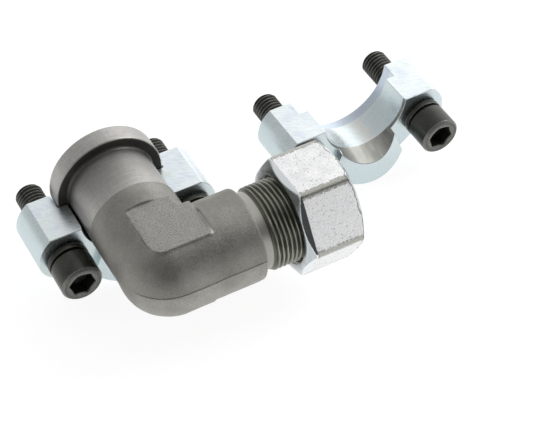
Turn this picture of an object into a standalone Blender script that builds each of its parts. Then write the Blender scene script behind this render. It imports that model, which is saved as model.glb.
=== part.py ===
"""Hydraulic elbow, 90 degrees: split flange head at one end, 24 degree cone with union nut at the other.

X runs out along the nut, Y runs out of the flange head, Z is up.
"""
import math

import bmesh
import bpy
from mathutils import Vector

for leftover in list(bpy.data.objects):
    bpy.data.objects.remove(leftover, do_unlink=True)

MM = 0.001

# Air between two pieces that touch on the real fitting, and the extra that round facets need.
GAP = 0.3 * MM
FACET_ROOM = 0.05 * MM

# Flange head of the elbow and the seal in its face.
COLLAR_RADIUS = 23.8 * MM
COLLAR_THICKNESS = 8.5 * MM
COLLAR_CHAMFER = 0.5 * MM
COLLAR_STANDS_OUT = 0.4 * MM
NECK_RADIUS = 19.05 * MM
NECK_FILLET = 1.0 * MM
NECK_LENGTH = 22.6 * MM
SEAL_SECTION = 1.765 * MM
SEAL_MEAN_RADIUS = 18.2 * MM
SEAL_SIDE_PLAY = 0.45 * MM
SEAL_STANDS_OUT = 0.93 * MM

# Forged corner.
FORGED_STEP = 0.4 * MM
CROTCH_BLEND = 3.2 * MM
BORE_RADIUS = 10.0 * MM
PAD_BELOW_CROWN = 1.2 * MM
PAD_HALF_WIDTH = 8.3 * MM
PAD_REACH_INLET = 18.2 * MM
PAD_REACH_OUTLET = 17.0 * MM
PAD_WEB = 11.8 * MM
PAD_CORNER = 5.5 * MM
PAD_END_BEVEL = 1.1 * MM
PAD_WEB_SLANT = 4.6 * MM
PAD_LIP = 0.4 * MM

# Cone end for a 25 mm tube, thread M36 x 2.
TUBE_RADIUS = 12.5 * MM
TUBE_PLAY = 0.1 * MM
CONE_HALF_ANGLE = math.radians(12.0)
CONE_DEPTH = 6.3 * MM
SOCKET_DEPTH = 12.0 * MM
TUBE_TO_THREAD = 5.5 * MM
THREAD_PITCH = 2.0 * MM
THREAD_DEPTH = 1.15 * MM
THREAD_LENGTH = 20.0 * MM
CREST_START = 0.45 * THREAD_PITCH
CREST_END = 0.65 * THREAD_PITCH
ROOT_START = 0.1 * THREAD_PITCH
CONE_END_CHAMFER = 1.25 * MM
RELIEF_DEPTH = 1.5 * MM
RELIEF_LENGTH = 4.6 * MM
RELIEF_RAMP = 0.4 * MM
SHOULDER_REACH = 35.2 * MM
SHOULDER_RISE = 1.7 * MM
SHOULDER_CHAMFER = 0.8 * MM

# Union nut and the cutting ring inside it.
NUT_WALL = 4.35 * MM
NUT_LENGTH = 26.4 * MM
NUT_OVERLAP = 8.4 * MM
NUT_FACE_INSET = 1.0 * MM
NUT_CHAMFER_ANGLE = math.radians(30.0)
NUT_EDGE_FLAT = 1.6 * MM
NUT_TURNED_BY = math.radians(-2.3)
NUT_END_WALL = 5.0 * MM
NUT_TUBE_PLAY = 0.5 * MM
NUT_LEAD_IN = 1.2 * MM
RING_PLAY = 0.12 * MM
RING_NOSE_WALL = 0.5 * MM
RING_NOSE_DIP = 1.2 * MM
RING_TAPER_RUN = 2.6 * MM
RING_WALL = 2.8 * MM
RING_BACK_WALL = 0.8 * MM

# Clamping halves.
HALF_THICKNESS = 24.0 * MM
HALF_SPLIT = 2.0 * MM
RECESS_PLAY = 0.4 * MM
NECK_PLAY = 0.95 * MM
BACK_WALL = 10.3 * MM
BOLT_PLAY = 0.75 * MM
BOLT_WEB = 0.85 * MM
BOLT_DROP = 13.9 * MM
EAR_WALL = 5.15 * MM
EAR_TOP_REACH = 5.85 * MM
HUB_HEIGHT = 8.7 * MM
HUB_END_HEIGHT = 2.6 * MM
HUB_TO_HEAD = 6.1 * MM
HUB_FAN_ABOVE = 15.0 * MM
HUB_WALL_OVERLAP = 4.0 * MM
MOUTH_DEPTH = 1.5 * MM
MOUTH_ANGLE = math.radians(14.4)

# Cap screws M12 x 45 and their split spring washers.
SCREW_RADIUS = 6.0 * MM
SCREW_LENGTH = 45.0 * MM
SCREW_TIP = 1.2 * MM
HEAD_RIM = 2.9 * MM
HEAD_HEIGHT = 12.0 * MM
HEAD_CHAMFER = 0.6 * MM
HEAD_TO_ELBOW = 0.6 * MM
KEY_FLATS = 10.0 * MM
KEY_DEPTH = 6.0 * MM
KEY_DRILL_POINT = 2.3 * MM
KEY_TURNED_BY = math.radians(12.0)
WASHER_WALL = 2.6 * MM
WASHER_THICKNESS = 2.5 * MM
WASHER_RISE = 1.3 * MM
WASHER_SLIT = math.radians(9.0)
WASHER_SLIT_AT = math.radians(50.0)

# Where the second half lies: one of its screw heads reaches a little past the end of the nut.
HEAD_PAST_NUT = 1.3 * MM
LOOSE_BACK = 0.9 * MM
LOOSE_TURN = math.radians(1.0)

# Sides of a round piece, steps of an arc, and how far a cutter runs past what it cuts.
ROUND_SIDES = 48
FINE_SIDES = 80
SMALL_SIDES = 32
SEAL_SIDES = 12
CORNER_STEPS = 21
WASHER_STEPS = 30
LONG_ARC_STEPS = 20
EAR_STEPS = 8
HUB_STEPS = 12
SHORT_ARC_STEPS = 6
HALVINGS = 36
OVERSHOOT = 2.0 * MM
MERGE_DISTANCE = 0.001 * MM
PIVOT_BEYOND_BLEND = 1.05
SMOOTH_BELOW = math.radians(28.0)

# What follows from the sizes above.
RECESS_DEPTH = COLLAR_THICKNESS + GAP - COLLAR_STANDS_OUT
COLLAR_FACE = COLLAR_STANDS_OUT
COLLAR_BACK = COLLAR_FACE - COLLAR_THICKNESS
NECK_END = COLLAR_BACK - NECK_LENGTH
GROOVE_DEPTH = GAP + 2.0 * SEAL_SECTION - SEAL_STANDS_OUT
FORGED_RADIUS = NECK_RADIUS + FORGED_STEP
SOCKET_RADIUS = TUBE_RADIUS + TUBE_PLAY
CONE_RADIUS = SOCKET_RADIUS + CONE_DEPTH * math.tan(CONE_HALF_ANGLE)
THREAD_RADIUS = TUBE_RADIUS + TUBE_TO_THREAD
OUTLET_RADIUS = THREAD_RADIUS + SHOULDER_RISE
PAD_HEIGHT = OUTLET_RADIUS - PAD_BELOW_CROWN
RELIEF_RADIUS = THREAD_RADIUS - RELIEF_DEPTH
CONE_END = SHOULDER_REACH + RELIEF_LENGTH + THREAD_LENGTH
CORNER_PIVOT = OUTLET_RADIUS + PIVOT_BEYOND_BLEND * CROTCH_BLEND
HALF_BORE = NECK_RADIUS + NECK_PLAY
RECESS_RADIUS = COLLAR_RADIUS + RECESS_PLAY
HALF_RADIUS = RECESS_RADIUS + BACK_WALL
BOLT_HOLE = SCREW_RADIUS + BOLT_PLAY
BOLT_ASIDE = math.sqrt((RECESS_RADIUS + BOLT_WEB + BOLT_HOLE) ** 2 - BOLT_DROP ** 2)
EAR_RADIUS = BOLT_HOLE + EAR_WALL
HEAD_RADIUS = SCREW_RADIUS + HEAD_RIM
HUB_FRONT = -HALF_THICKNESS - HUB_HEIGHT
PIVOT_TO_BOLT = math.hypot(BOLT_ASIDE, HUB_FAN_ABOVE + BOLT_DROP)
HUB_AT_HEAD = math.asin((HEAD_RADIUS + HUB_TO_HEAD) / PIVOT_TO_BOLT)
HUB_SPREAD = math.atan2(BOLT_ASIDE, HUB_FAN_ABOVE + BOLT_DROP) - HUB_AT_HEAD
MOUTH_START = MOUTH_DEPTH - HALF_THICKNESS
WASHER_INNER = SCREW_RADIUS + GAP + FACET_ROOM
WASHER_OUTER = WASHER_INNER + WASHER_WALL
SCREW_SAG = math.asin(2.0 * (BOLT_PLAY - GAP - FACET_ROOM) / HALF_THICKNESS)
WASHER_SEAT = GAP + FACET_ROOM + WASHER_OUTER * math.sin(SCREW_SAG)
HEAD_SEAT = WASHER_SEAT + WASHER_THICKNESS + WASHER_RISE + GAP
HEAD_TOP_BELOW_AXIS = BOLT_DROP - HEAD_RADIUS
OUTLET_BEHIND_HEAD = math.sqrt((OUTLET_RADIUS + HEAD_TO_ELBOW) ** 2 - HEAD_TOP_BELOW_AXIS ** 2)
OUTLET_AXIS = -(HALF_THICKNESS + HEAD_SEAT + HEAD_HEIGHT + OUTLET_BEHIND_HEAD)
NUT_BORE = THREAD_RADIUS + GAP + FACET_ROOM
NUT_HALF_FLATS = NUT_BORE + NUT_WALL
NUT_START = CONE_END - NUT_OVERLAP
NUT_END = NUT_START + NUT_LENGTH
NUT_TUBE_HOLE = TUBE_RADIUS + NUT_TUBE_PLAY
NUT_SEAT = NUT_END - NUT_END_WALL
RING_BORE = TUBE_RADIUS + RING_PLAY
RING_FRONT = CONE_END - RING_NOSE_DIP
RING_RADIUS = RING_BORE + RING_WALL
LOOSE_ASIDE = NUT_END - HEAD_PAST_NUT + HEAD_RADIUS + BOLT_ASIDE

ALONG_X = (0.5 * math.pi, 0.0, 0.5 * math.pi)
ALONG_Y = (-0.5 * math.pi, 0.0, 0.0)
UPRIGHT = (0.0, 0.0, 0.0)


def paint(name, colour, metallic, roughness):
    """Surface of one piece."""
    material = bpy.data.materials.new(name)
    material.use_nodes = True
    shader = material.node_tree.nodes["Principled BSDF"]
    shader.inputs["Base Color"].default_value = (*colour, 1.0)
    shader.inputs["Metallic"].default_value = metallic
    shader.inputs["Roughness"].default_value = roughness
    return material


def grey_steel(name):
    return paint(name, (0.20, 0.19, 0.18), 0.6, 0.6)


def bright_zinc(name):
    return paint(name, (0.64, 0.67, 0.68), 0.9, 0.4)


def black_steel(name):
    return paint(name, (0.03, 0.03, 0.03), 0.7, 0.45)


def empty(name, parent, location, rotation=UPRIGHT):
    """Named frame that carries the pieces placed in it."""
    frame = bpy.data.objects.new(name, None)
    frame.empty_display_size = 10.0 * MM
    bpy.context.scene.collection.objects.link(frame)
    frame.parent = parent
    frame.location = location
    frame.rotation_euler = rotation
    return frame


def place(name, shell, parent, rotation=UPRIGHT, location=(0.0, 0.0, 0.0)):
    """Turns a finished bmesh into an object of the scene."""
    bmesh.ops.recalc_face_normals(shell, faces=shell.faces)
    mesh = bpy.data.meshes.new(name)
    shell.to_mesh(mesh)
    shell.free()
    mesh.shade_smooth()
    mesh.set_sharp_from_angle(angle=SMOOTH_BELOW)
    item = bpy.data.objects.new(name, mesh)
    bpy.context.scene.collection.objects.link(item)
    item.parent = parent
    item.location = location
    item.rotation_euler = rotation
    return item


def turned(profile, sides, closed=False):
    """Spins (height, radius) pairs about Z; a closed profile gives a ring."""
    shell = bmesh.new()
    points = [shell.verts.new((radius, 0.0, height)) for height, radius in profile]
    edges = [shell.edges.new(pair) for pair in zip(points, points[1:])]
    if closed:
        edges.append(shell.edges.new((points[-1], points[0])))
    spun = points + edges
    bmesh.ops.spin(shell, geom=spun, cent=(0, 0, 0), axis=(0, 0, 1), angle=2.0 * math.pi, steps=sides)
    bmesh.ops.remove_doubles(shell, verts=shell.verts, dist=MERGE_DISTANCE)
    return shell


def prism(outline, low, high):
    """Extrudes a flat (x, y) outline from one height to another."""
    shell = bmesh.new()
    corners = [shell.verts.new((x, y, low)) for x, y in outline]
    face = shell.faces.new(corners)
    grown = bmesh.ops.extrude_face_region(shell, geom=[face])
    lifted = [item for item in grown["geom"] if isinstance(item, bmesh.types.BMVert)]
    bmesh.ops.translate(shell, verts=lifted, vec=(0.0, 0.0, high - low))
    return shell


def arc(centre, radius, start, end, steps):
    """Points of an arc, both ends included, angles in radians."""
    points = []
    for step in range(steps + 1):
        angle = start + (end - start) * step / steps
        points.append((centre[0] + radius * math.cos(angle), centre[1] + radius * math.sin(angle)))
    return points


def join(target, tool, operation):
    """Combines a hidden tool with the target by a Boolean modifier that stays on the target."""
    tool.hide_render = True
    tool.display_type = "WIRE"
    modifier = target.modifiers.new(tool.name, "BOOLEAN")
    modifier.operation = operation
    modifier.solver = "EXACT"
    modifier.object = tool


def corner_distance(point):
    """Signed distance to the forged corner: two round arms, blended where they meet."""
    to_inlet = Vector((point.x, min(point.y - OUTLET_AXIS, 0.0), point.z)).length - FORGED_RADIUS
    to_outlet = Vector((min(point.x, 0.0), point.y - OUTLET_AXIS, point.z)).length - OUTLET_RADIUS
    nearness = max(CROTCH_BLEND - abs(to_inlet - to_outlet), 0.0) / CROTCH_BLEND
    return min(to_inlet, to_outlet) - 0.25 * nearness * nearness * CROTCH_BLEND


def corner_ring(turn):
    """Ring of the forged corner in the upright plane through the crotch pivot, turned from X to Y."""
    inward = Vector((math.cos(turn), math.sin(turn), 0.0))
    reach = CORNER_PIVOT / max(inward.x, inward.y)
    centre = Vector((CORNER_PIVOT, OUTLET_AXIS + CORNER_PIVOT, 0.0)) - reach * inward
    ring = []
    for step in range(ROUND_SIDES):
        angle = 2.0 * math.pi * step / ROUND_SIDES
        heading = Vector((math.cos(angle) * inward.x, math.cos(angle) * inward.y, math.sin(angle)))
        inside = 0.0
        outside = 2.0 * CORNER_PIVOT
        for halving in range(HALVINGS):
            middle = 0.5 * (inside + outside)
            if corner_distance(centre + middle * heading) < 0.0:
                inside = middle
            else:
                outside = middle
        ring.append(centre + inside * heading)
    return ring


def inlet_ring(y, radius):
    """Ring about the axis of the flange head."""
    angles = [2.0 * math.pi * step / ROUND_SIDES for step in range(ROUND_SIDES)]
    return [Vector((radius * math.cos(angle), y, radius * math.sin(angle))) for angle in angles]


def outlet_ring(x, radius):
    """Ring about the axis of the cone end."""
    angles = [2.0 * math.pi * step / ROUND_SIDES for step in range(ROUND_SIDES)]
    return [Vector((x, OUTLET_AXIS + radius * math.cos(angle), radius * math.sin(angle))) for angle in angles]


def mitre_ring():
    """Ring where the two drilled bores meet."""
    ring = []
    for step in range(ROUND_SIDES):
        angle = 2.0 * math.pi * step / ROUND_SIDES
        side = BORE_RADIUS * math.cos(angle)
        ring.append(Vector((side, OUTLET_AXIS + side, BORE_RADIUS * math.sin(angle))))
    return ring


def head_profile():
    """(y, radius) pairs of the flange head, from the bore over the face to the end of the neck."""
    fillet_middle = NECK_FILLET * (1.0 - math.sqrt(0.5))
    groove_inner = SEAL_MEAN_RADIUS - SEAL_SECTION - SEAL_SIDE_PLAY
    groove_outer = SEAL_MEAN_RADIUS + SEAL_SECTION + SEAL_SIDE_PLAY
    return [
        (COLLAR_FACE, BORE_RADIUS),
        (COLLAR_FACE, groove_inner),
        (COLLAR_FACE - GROOVE_DEPTH, groove_inner),
        (COLLAR_FACE - GROOVE_DEPTH, groove_outer),
        (COLLAR_FACE, groove_outer),
        (COLLAR_FACE, COLLAR_RADIUS - COLLAR_CHAMFER),
        (COLLAR_FACE - COLLAR_CHAMFER, COLLAR_RADIUS),
        (COLLAR_BACK + COLLAR_CHAMFER, COLLAR_RADIUS),
        (COLLAR_BACK, COLLAR_RADIUS - COLLAR_CHAMFER),
        (COLLAR_BACK, NECK_RADIUS + NECK_FILLET),
        (COLLAR_BACK - fillet_middle, NECK_RADIUS + fillet_middle),
        (COLLAR_BACK - NECK_FILLET, NECK_RADIUS),
        (NECK_END, NECK_RADIUS),
        (NECK_END - FORGED_STEP, FORGED_RADIUS),
    ]


def thread_profile():
    """(x, radius) pairs of the thread ridges; the last crest runs on to the chamfer of the cone end."""
    start = SHOULDER_REACH + RELIEF_LENGTH
    root = THREAD_RADIUS - THREAD_DEPTH
    ridges = int((THREAD_LENGTH - CONE_END_CHAMFER - CREST_START) / THREAD_PITCH)
    points = []
    for ridge in range(ridges + 1):
        foot = start + THREAD_PITCH * ridge
        points.append((foot + ROOT_START, root))
        points.append((foot + CREST_START, THREAD_RADIUS))
        points.append((foot + CREST_END, THREAD_RADIUS))
    return points[:-1]


def cone_end_profile():
    """(x, radius) pairs of the machined outlet, from the forging over the thread into the bore."""
    return [
        (SHOULDER_REACH - SHOULDER_CHAMFER, OUTLET_RADIUS),
        (SHOULDER_REACH, OUTLET_RADIUS - SHOULDER_CHAMFER),
        (SHOULDER_REACH, RELIEF_RADIUS),
        (SHOULDER_REACH + RELIEF_LENGTH - RELIEF_RAMP, RELIEF_RADIUS),
        *thread_profile(),
        (CONE_END - CONE_END_CHAMFER, THREAD_RADIUS),
        (CONE_END, THREAD_RADIUS - CONE_END_CHAMFER),
        (CONE_END, CONE_RADIUS),
        (CONE_END - CONE_DEPTH, SOCKET_RADIUS),
        (CONE_END - SOCKET_DEPTH, SOCKET_RADIUS),
        (CONE_END - SOCKET_DEPTH, BORE_RADIUS),
    ]


def elbow_wall():
    """Closed chain of rings round the wall: head, corner, cone end and back through the bore."""
    rings = [inlet_ring(y, radius) for y, radius in head_profile()]
    for step in range(CORNER_STEPS + 1):
        rings.append(corner_ring(0.5 * math.pi * step / CORNER_STEPS))
    rings += [outlet_ring(x, radius) for x, radius in cone_end_profile()]
    rings.append(mitre_ring())
    shell = bmesh.new()
    loops = [[shell.verts.new(point) for point in ring] for ring in rings]
    for low, high in zip(loops, loops[1:] + loops[:1]):
        for here, there in zip(range(ROUND_SIDES), [*range(1, ROUND_SIDES), 0]):
            shell.faces.new((low[here], low[there], high[there], high[here]))
    return shell


def pad_outline(grow):
    """Plan outline of the flat pad on the corner, measured from where the two axes cross."""
    width = PAD_HALF_WIDTH + grow
    inlet = PAD_REACH_INLET + grow
    outlet = PAD_REACH_OUTLET + grow
    web = PAD_WEB + grow
    centre = (PAD_CORNER - width, PAD_CORNER - width)
    outline = arc(centre, PAD_CORNER, math.pi, 1.5 * math.pi, SHORT_ARC_STEPS)
    outline += [(outlet, -width), (outlet, web - PAD_END_BEVEL), (outlet - PAD_END_BEVEL, web)]
    outline += [(web, web), (web - PAD_WEB_SLANT, inlet - PAD_END_BEVEL)]
    outline += [(web - 2.0 * PAD_WEB_SLANT, inlet), (-PAD_END_BEVEL, inlet)]
    outline.append((-width, inlet - PAD_END_BEVEL))
    return outline


def build_elbow(base):
    """Forged elbow with machined ends and a flat pad above and below its corner."""
    corner = (0.0, OUTLET_AXIS, 0.0)
    elbow = place("elbow_body", elbow_wall(), base)
    elbow.data.materials.append(grey_steel("phosphated_steel"))
    above_all = OUTLET_RADIUS + CROTCH_BLEND
    for word, side in (("top", 1.0), ("bottom", -1.0)):
        inner = side * (SOCKET_RADIUS + GAP)
        web = prism(pad_outline(0.0), inner, side * above_all)
        join(elbow, place("pad_web_" + word, web, base, location=corner), "UNION")
        face = prism(pad_outline(PAD_LIP), side * PAD_HEIGHT, side * (above_all + OVERSHOOT))
        join(elbow, place("pad_face_" + word, face, base, location=corner), "DIFFERENCE")
    return elbow


def build_seal(base):
    """Round section seal in the groove of the collar."""
    centre = COLLAR_FACE + SEAL_STANDS_OUT - SEAL_SECTION
    section = arc((centre, SEAL_MEAN_RADIUS), SEAL_SECTION, 0.0, 2.0 * math.pi, SEAL_SIDES)[:-1]
    seal = place("o_ring", turned(section, ROUND_SIDES, True), base, ALONG_Y)
    seal.data.materials.append(paint("nitrile_rubber", (0.02, 0.02, 0.02), 0.0, 0.6))
    return seal


def build_nut(outlet):
    """Hexagon union nut, chamfered at both ends, bored for the thread, the ring and the tube."""
    corner = NUT_HALF_FLATS / math.cos(math.pi / 6.0) - 0.5 * NUT_EDGE_FLAT * math.tan(math.pi / 6.0)
    reach = math.hypot(corner, 0.5 * NUT_EDGE_FLAT)
    spread = math.atan2(0.5 * NUT_EDGE_FLAT, corner)
    outline = []
    for side in range(6):
        middle = NUT_TURNED_BY + side * math.pi / 3.0
        for angle in (middle - spread, middle + spread):
            outline.append((reach * math.cos(angle), reach * math.sin(angle)))
    nut = place("union_nut", prism(outline, NUT_START - OVERSHOOT, NUT_END + OVERSHOOT), outlet)
    nut.data.materials.append(bright_zinc("zinc_plated_nut"))
    face = NUT_HALF_FLATS - NUT_FACE_INSET
    outside = reach + OVERSHOOT
    slope = (outside - face) * math.tan(NUT_CHAMFER_ANGLE)
    lathe = [(NUT_START, 0.0), (NUT_START, face), (NUT_START + slope, outside)]
    lathe += [(NUT_END - slope, outside), (NUT_END, face), (NUT_END, 0.0)]
    join(nut, place("nut_lathe", turned(lathe, 2 * ROUND_SIDES), outlet), "INTERSECT")
    seat_start = NUT_SEAT - (NUT_BORE - NUT_TUBE_HOLE)
    hollow = [
        (NUT_START - OVERSHOOT, 0.0),
        (NUT_START - OVERSHOOT, NUT_BORE + NUT_LEAD_IN + OVERSHOOT),
        (NUT_START + NUT_LEAD_IN, NUT_BORE),
        (seat_start, NUT_BORE),
        (NUT_SEAT, NUT_TUBE_HOLE),
        (NUT_END + OVERSHOOT, NUT_TUBE_HOLE),
        (NUT_END + OVERSHOOT, 0.0),
    ]
    join(nut, place("nut_hollow", turned(hollow, ROUND_SIDES), outlet), "DIFFERENCE")
    return nut


def build_ring(outlet):
    """Cutting ring between the cone of the elbow and the cone of the nut."""
    seat_cone = NUT_SEAT + NUT_TUBE_HOLE - math.sqrt(2.0) * (GAP + FACET_ROOM)
    nose = RING_BORE + RING_NOSE_WALL
    taper_end = CONE_END + RING_TAPER_RUN
    taper = nose + (taper_end - RING_FRONT) * math.tan(CONE_HALF_ANGLE)
    profile = [
        (RING_FRONT, RING_BORE),
        (RING_FRONT, nose),
        (taper_end, taper),
        (taper_end + RING_RADIUS - taper, RING_RADIUS),
        (seat_cone - RING_RADIUS, RING_RADIUS),
        (seat_cone - RING_BORE - RING_BACK_WALL, RING_BORE + RING_BACK_WALL),
        (seat_cone - RING_BORE - RING_BACK_WALL, RING_BORE),
    ]
    ring = place("cutting_ring", turned(profile, ROUND_SIDES, True), outlet)
    ring.data.materials.append(paint("hardened_ring_steel", (0.45, 0.43, 0.38), 0.9, 0.35))
    return ring


def half_outline():
    """Outline of a clamping half in its (x, z) plane: flat parting face, two ears, round back."""
    inset = EAR_RADIUS - EAR_TOP_REACH
    drop = BOLT_DROP - HALF_SPLIT
    flank = (inset * inset + drop * drop) / (2.0 * inset)
    flank_centre = (BOLT_ASIDE + EAR_RADIUS - flank, -BOLT_DROP)
    to_bolt = math.hypot(BOLT_ASIDE, BOLT_DROP)
    along = (to_bolt ** 2 + HALF_RADIUS ** 2 - EAR_RADIUS ** 2) / (2.0 * to_bolt)
    meet = -math.atan2(BOLT_DROP, BOLT_ASIDE) - math.acos(along / HALF_RADIUS)
    meet_x = HALF_RADIUS * math.cos(meet)
    meet_z = HALF_RADIUS * math.sin(meet)
    ear_end = math.atan2(meet_z + BOLT_DROP, meet_x - BOLT_ASIDE)
    right = arc(flank_centre, flank, math.asin(drop / flank), 0.0, SHORT_ARC_STEPS)
    right += arc((BOLT_ASIDE, -BOLT_DROP), EAR_RADIUS, 0.0, ear_end, EAR_STEPS)[1:]
    back = arc((0.0, 0.0), HALF_RADIUS, meet, -math.pi - meet, LONG_ARC_STEPS)[1:-1]
    left = [(-x, z) for x, z in reversed(right)]
    return right + back + left


def hub_block():
    """Raised hub: a fan of upright sections, highest in the middle, reaching into the bore and past the back."""
    near = HUB_FAN_ABOVE + HALF_BORE - HUB_WALL_OVERLAP
    far = HUB_FAN_ABOVE + HALF_RADIUS + OVERSHOOT
    base = OVERSHOOT - HALF_THICKNESS
    shell = bmesh.new()
    sections = []
    for step in range(HUB_STEPS + 1):
        share = 2.0 * step / HUB_STEPS - 1.0
        turn = share * HUB_SPREAD
        front = HUB_FRONT + share * share * (HUB_HEIGHT - HUB_END_HEIGHT)
        corners = ((near, base), (far, base), (far, front), (near, front))
        points = [(t * math.sin(turn), y, HUB_FAN_ABOVE - t * math.cos(turn)) for t, y in corners]
        sections.append([shell.verts.new(point) for point in points])
    for low, high in zip(sections, sections[1:]):
        for here, there in ((0, 1), (1, 2), (2, 3), (3, 0)):
            shell.faces.new((low[here], low[there], high[there], high[here]))
    shell.faces.new(sections[0])
    shell.faces.new(sections[-1])
    return shell


def build_half(label, frame):
    """Clamping half: plate with two ears, raised hub, stepped bore with a conical mouth, two bolt holes."""
    stand = (0.5 * math.pi, 0.0, 0.0)
    half = place("flange_half_" + label, prism(half_outline(), 0.0, HALF_THICKNESS), frame, stand)
    half.data.materials.append(bright_zinc("zinc_plated_half_" + label))
    hub = place("hub_" + label, hub_block(), frame)
    back = [(HUB_FRONT - OVERSHOOT, 0.0), (HUB_FRONT - OVERSHOOT, HALF_RADIUS)]
    back += [(-RECESS_DEPTH, HALF_RADIUS), (-RECESS_DEPTH, 0.0)]
    join(hub, place("hub_back_" + label, turned(back, FINE_SIDES), frame, ALONG_Y), "INTERSECT")
    join(half, hub, "UNION")
    mouth_end = HUB_FRONT - OVERSHOOT
    bore = [
        (mouth_end, 0.0),
        (mouth_end, HALF_BORE + (MOUTH_START - mouth_end) * math.tan(MOUTH_ANGLE)),
        (MOUTH_START, HALF_BORE),
        (-RECESS_DEPTH, HALF_BORE),
        (-RECESS_DEPTH, RECESS_RADIUS),
        (OVERSHOOT, RECESS_RADIUS),
        (OVERSHOOT, 0.0),
    ]
    join(half, place("bore_" + label, turned(bore, FINE_SIDES), frame, ALONG_Y), "DIFFERENCE")
    hole = [(-HALF_THICKNESS - OVERSHOOT, 0.0), (-HALF_THICKNESS - OVERSHOOT, BOLT_HOLE)]
    hole += [(OVERSHOOT, BOLT_HOLE), (OVERSHOOT, 0.0)]
    for word, side in (("left", -1.0), ("right", 1.0)):
        spot = (side * BOLT_ASIDE, 0.0, -BOLT_DROP)
        drill = place("bolt_hole_" + label + "_" + word, turned(hole, SMALL_SIDES), frame, ALONG_Y, spot)
        join(half, drill, "DIFFERENCE")
    return half


def build_screw(label, axis):
    """Hexagon socket cap screw on its axis; Z zero is the middle of the hole, Z runs to the tip."""
    under = -0.5 * HALF_THICKNESS - HEAD_SEAT
    top = under - HEAD_HEIGHT
    tip = under + SCREW_LENGTH
    profile = [
        (top, 0.0),
        (top, HEAD_RADIUS - HEAD_CHAMFER),
        (top + HEAD_CHAMFER, HEAD_RADIUS),
        (under, HEAD_RADIUS),
        (under, SCREW_RADIUS),
        (tip - SCREW_TIP, SCREW_RADIUS),
        (tip, SCREW_RADIUS - SCREW_TIP),
        (tip, 0.0),
    ]
    screw = place("cap_screw_" + label, turned(profile, SMALL_SIDES), axis)
    screw.data.materials.append(black_steel("black_cap_screw_" + label))
    corner = KEY_FLATS / math.sqrt(3.0)
    key = [(top - OVERSHOOT, 0.0), (top - OVERSHOOT, corner), (top + KEY_DEPTH, corner)]
    key.append((top + KEY_DEPTH + KEY_DRILL_POINT, 0.0))
    socket = place("key_socket_" + label, turned(key, 6), axis, (0.0, 0.0, KEY_TURNED_BY))
    join(screw, socket, "DIFFERENCE")
    return screw


def build_washer(label, axis):
    """Split spring washer: square wire wound almost once round the screw."""
    low = -0.5 * HALF_THICKNESS - WASHER_SEAT - WASHER_THICKNESS - WASHER_RISE
    high = low + WASHER_THICKNESS
    section = [(WASHER_INNER, low), (WASHER_OUTER, low), (WASHER_OUTER, high), (WASHER_INNER, high)]
    begin = WASHER_SLIT_AT + 0.5 * WASHER_SLIT
    shell = bmesh.new()
    corners = [shell.verts.new((r * math.cos(begin), r * math.sin(begin), z)) for r, z in section]
    first = shell.faces.new(corners)
    rise = (0.0, 0.0, WASHER_RISE / WASHER_STEPS)
    turn = 2.0 * math.pi - WASHER_SLIT
    wire = [first, *first.edges, *first.verts]
    path = {"cent": (0, 0, 0), "axis": (0, 0, 1), "dvec": rise, "angle": turn, "steps": WASHER_STEPS}
    bmesh.ops.spin(shell, geom=wire, **path)
    washer = place("spring_washer_" + label, shell, axis)
    washer.data.materials.append(black_steel("black_spring_washer_" + label))
    return washer


def build_clamp(label, frame):
    """One half with its two screws, each hanging head down by the play in its hole."""
    build_half(label, frame)
    for word, side in (("left", -1.0), ("right", 1.0)):
        middle = (side * BOLT_ASIDE, -0.5 * HALF_THICKNESS, -BOLT_DROP)
        sag = (SCREW_SAG - 0.5 * math.pi, 0.0, 0.0)
        axis = empty("screw_axis_" + label + "_" + word, frame, middle, sag)
        build_screw(label + "_" + word, axis)
        build_washer(label + "_" + word, axis)


def stand_on_floor(base):
    """Moves the base so that the whole stands at height zero, centred on the vertical axis."""
    bpy.context.view_layer.update()
    solids = [item for item in bpy.data.objects if item.type == "MESH" and not item.hide_render]
    points = [item.matrix_world @ vertex.co for item in solids for vertex in item.data.vertices]
    low = [min(point[axis] for point in points) for axis in range(3)]
    high = [max(point[axis] for point in points) for axis in range(3)]
    base.location = (-0.5 * (low[0] + high[0]), -0.5 * (low[1] + high[1]), -low[2])
    bpy.context.view_layer.update()


def build_all():
    """Elbow with one half on its head and the other half lying beside it."""
    base = empty("base", None, (0.0, 0.0, 0.0))
    outlet = empty("outlet_axis", base, (0.0, OUTLET_AXIS, 0.0), ALONG_X)
    build_elbow(base)
    build_seal(base)
    build_nut(outlet)
    build_ring(outlet)
    build_clamp("seated", empty("seated_half_frame", base, (0.0, 0.0, 0.0)))
    aside = (LOOSE_ASIDE, LOOSE_BACK, 0.0)
    build_clamp("loose", empty("loose_half_frame", base, aside, (0.0, 0.0, LOOSE_TURN)))
    stand_on_floor(base)


build_all()
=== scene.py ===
"""Looks of the hydraulic flange elbow: forged elbow, zinc plated nut and clamping halves, black screws.

Sizes are in millimetres and are scaled to metres when a mesh is made. Places come from the frame.
"""
import math

import bmesh
import bpy
import numpy as np
from mathutils import Matrix, Vector, noise


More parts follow.
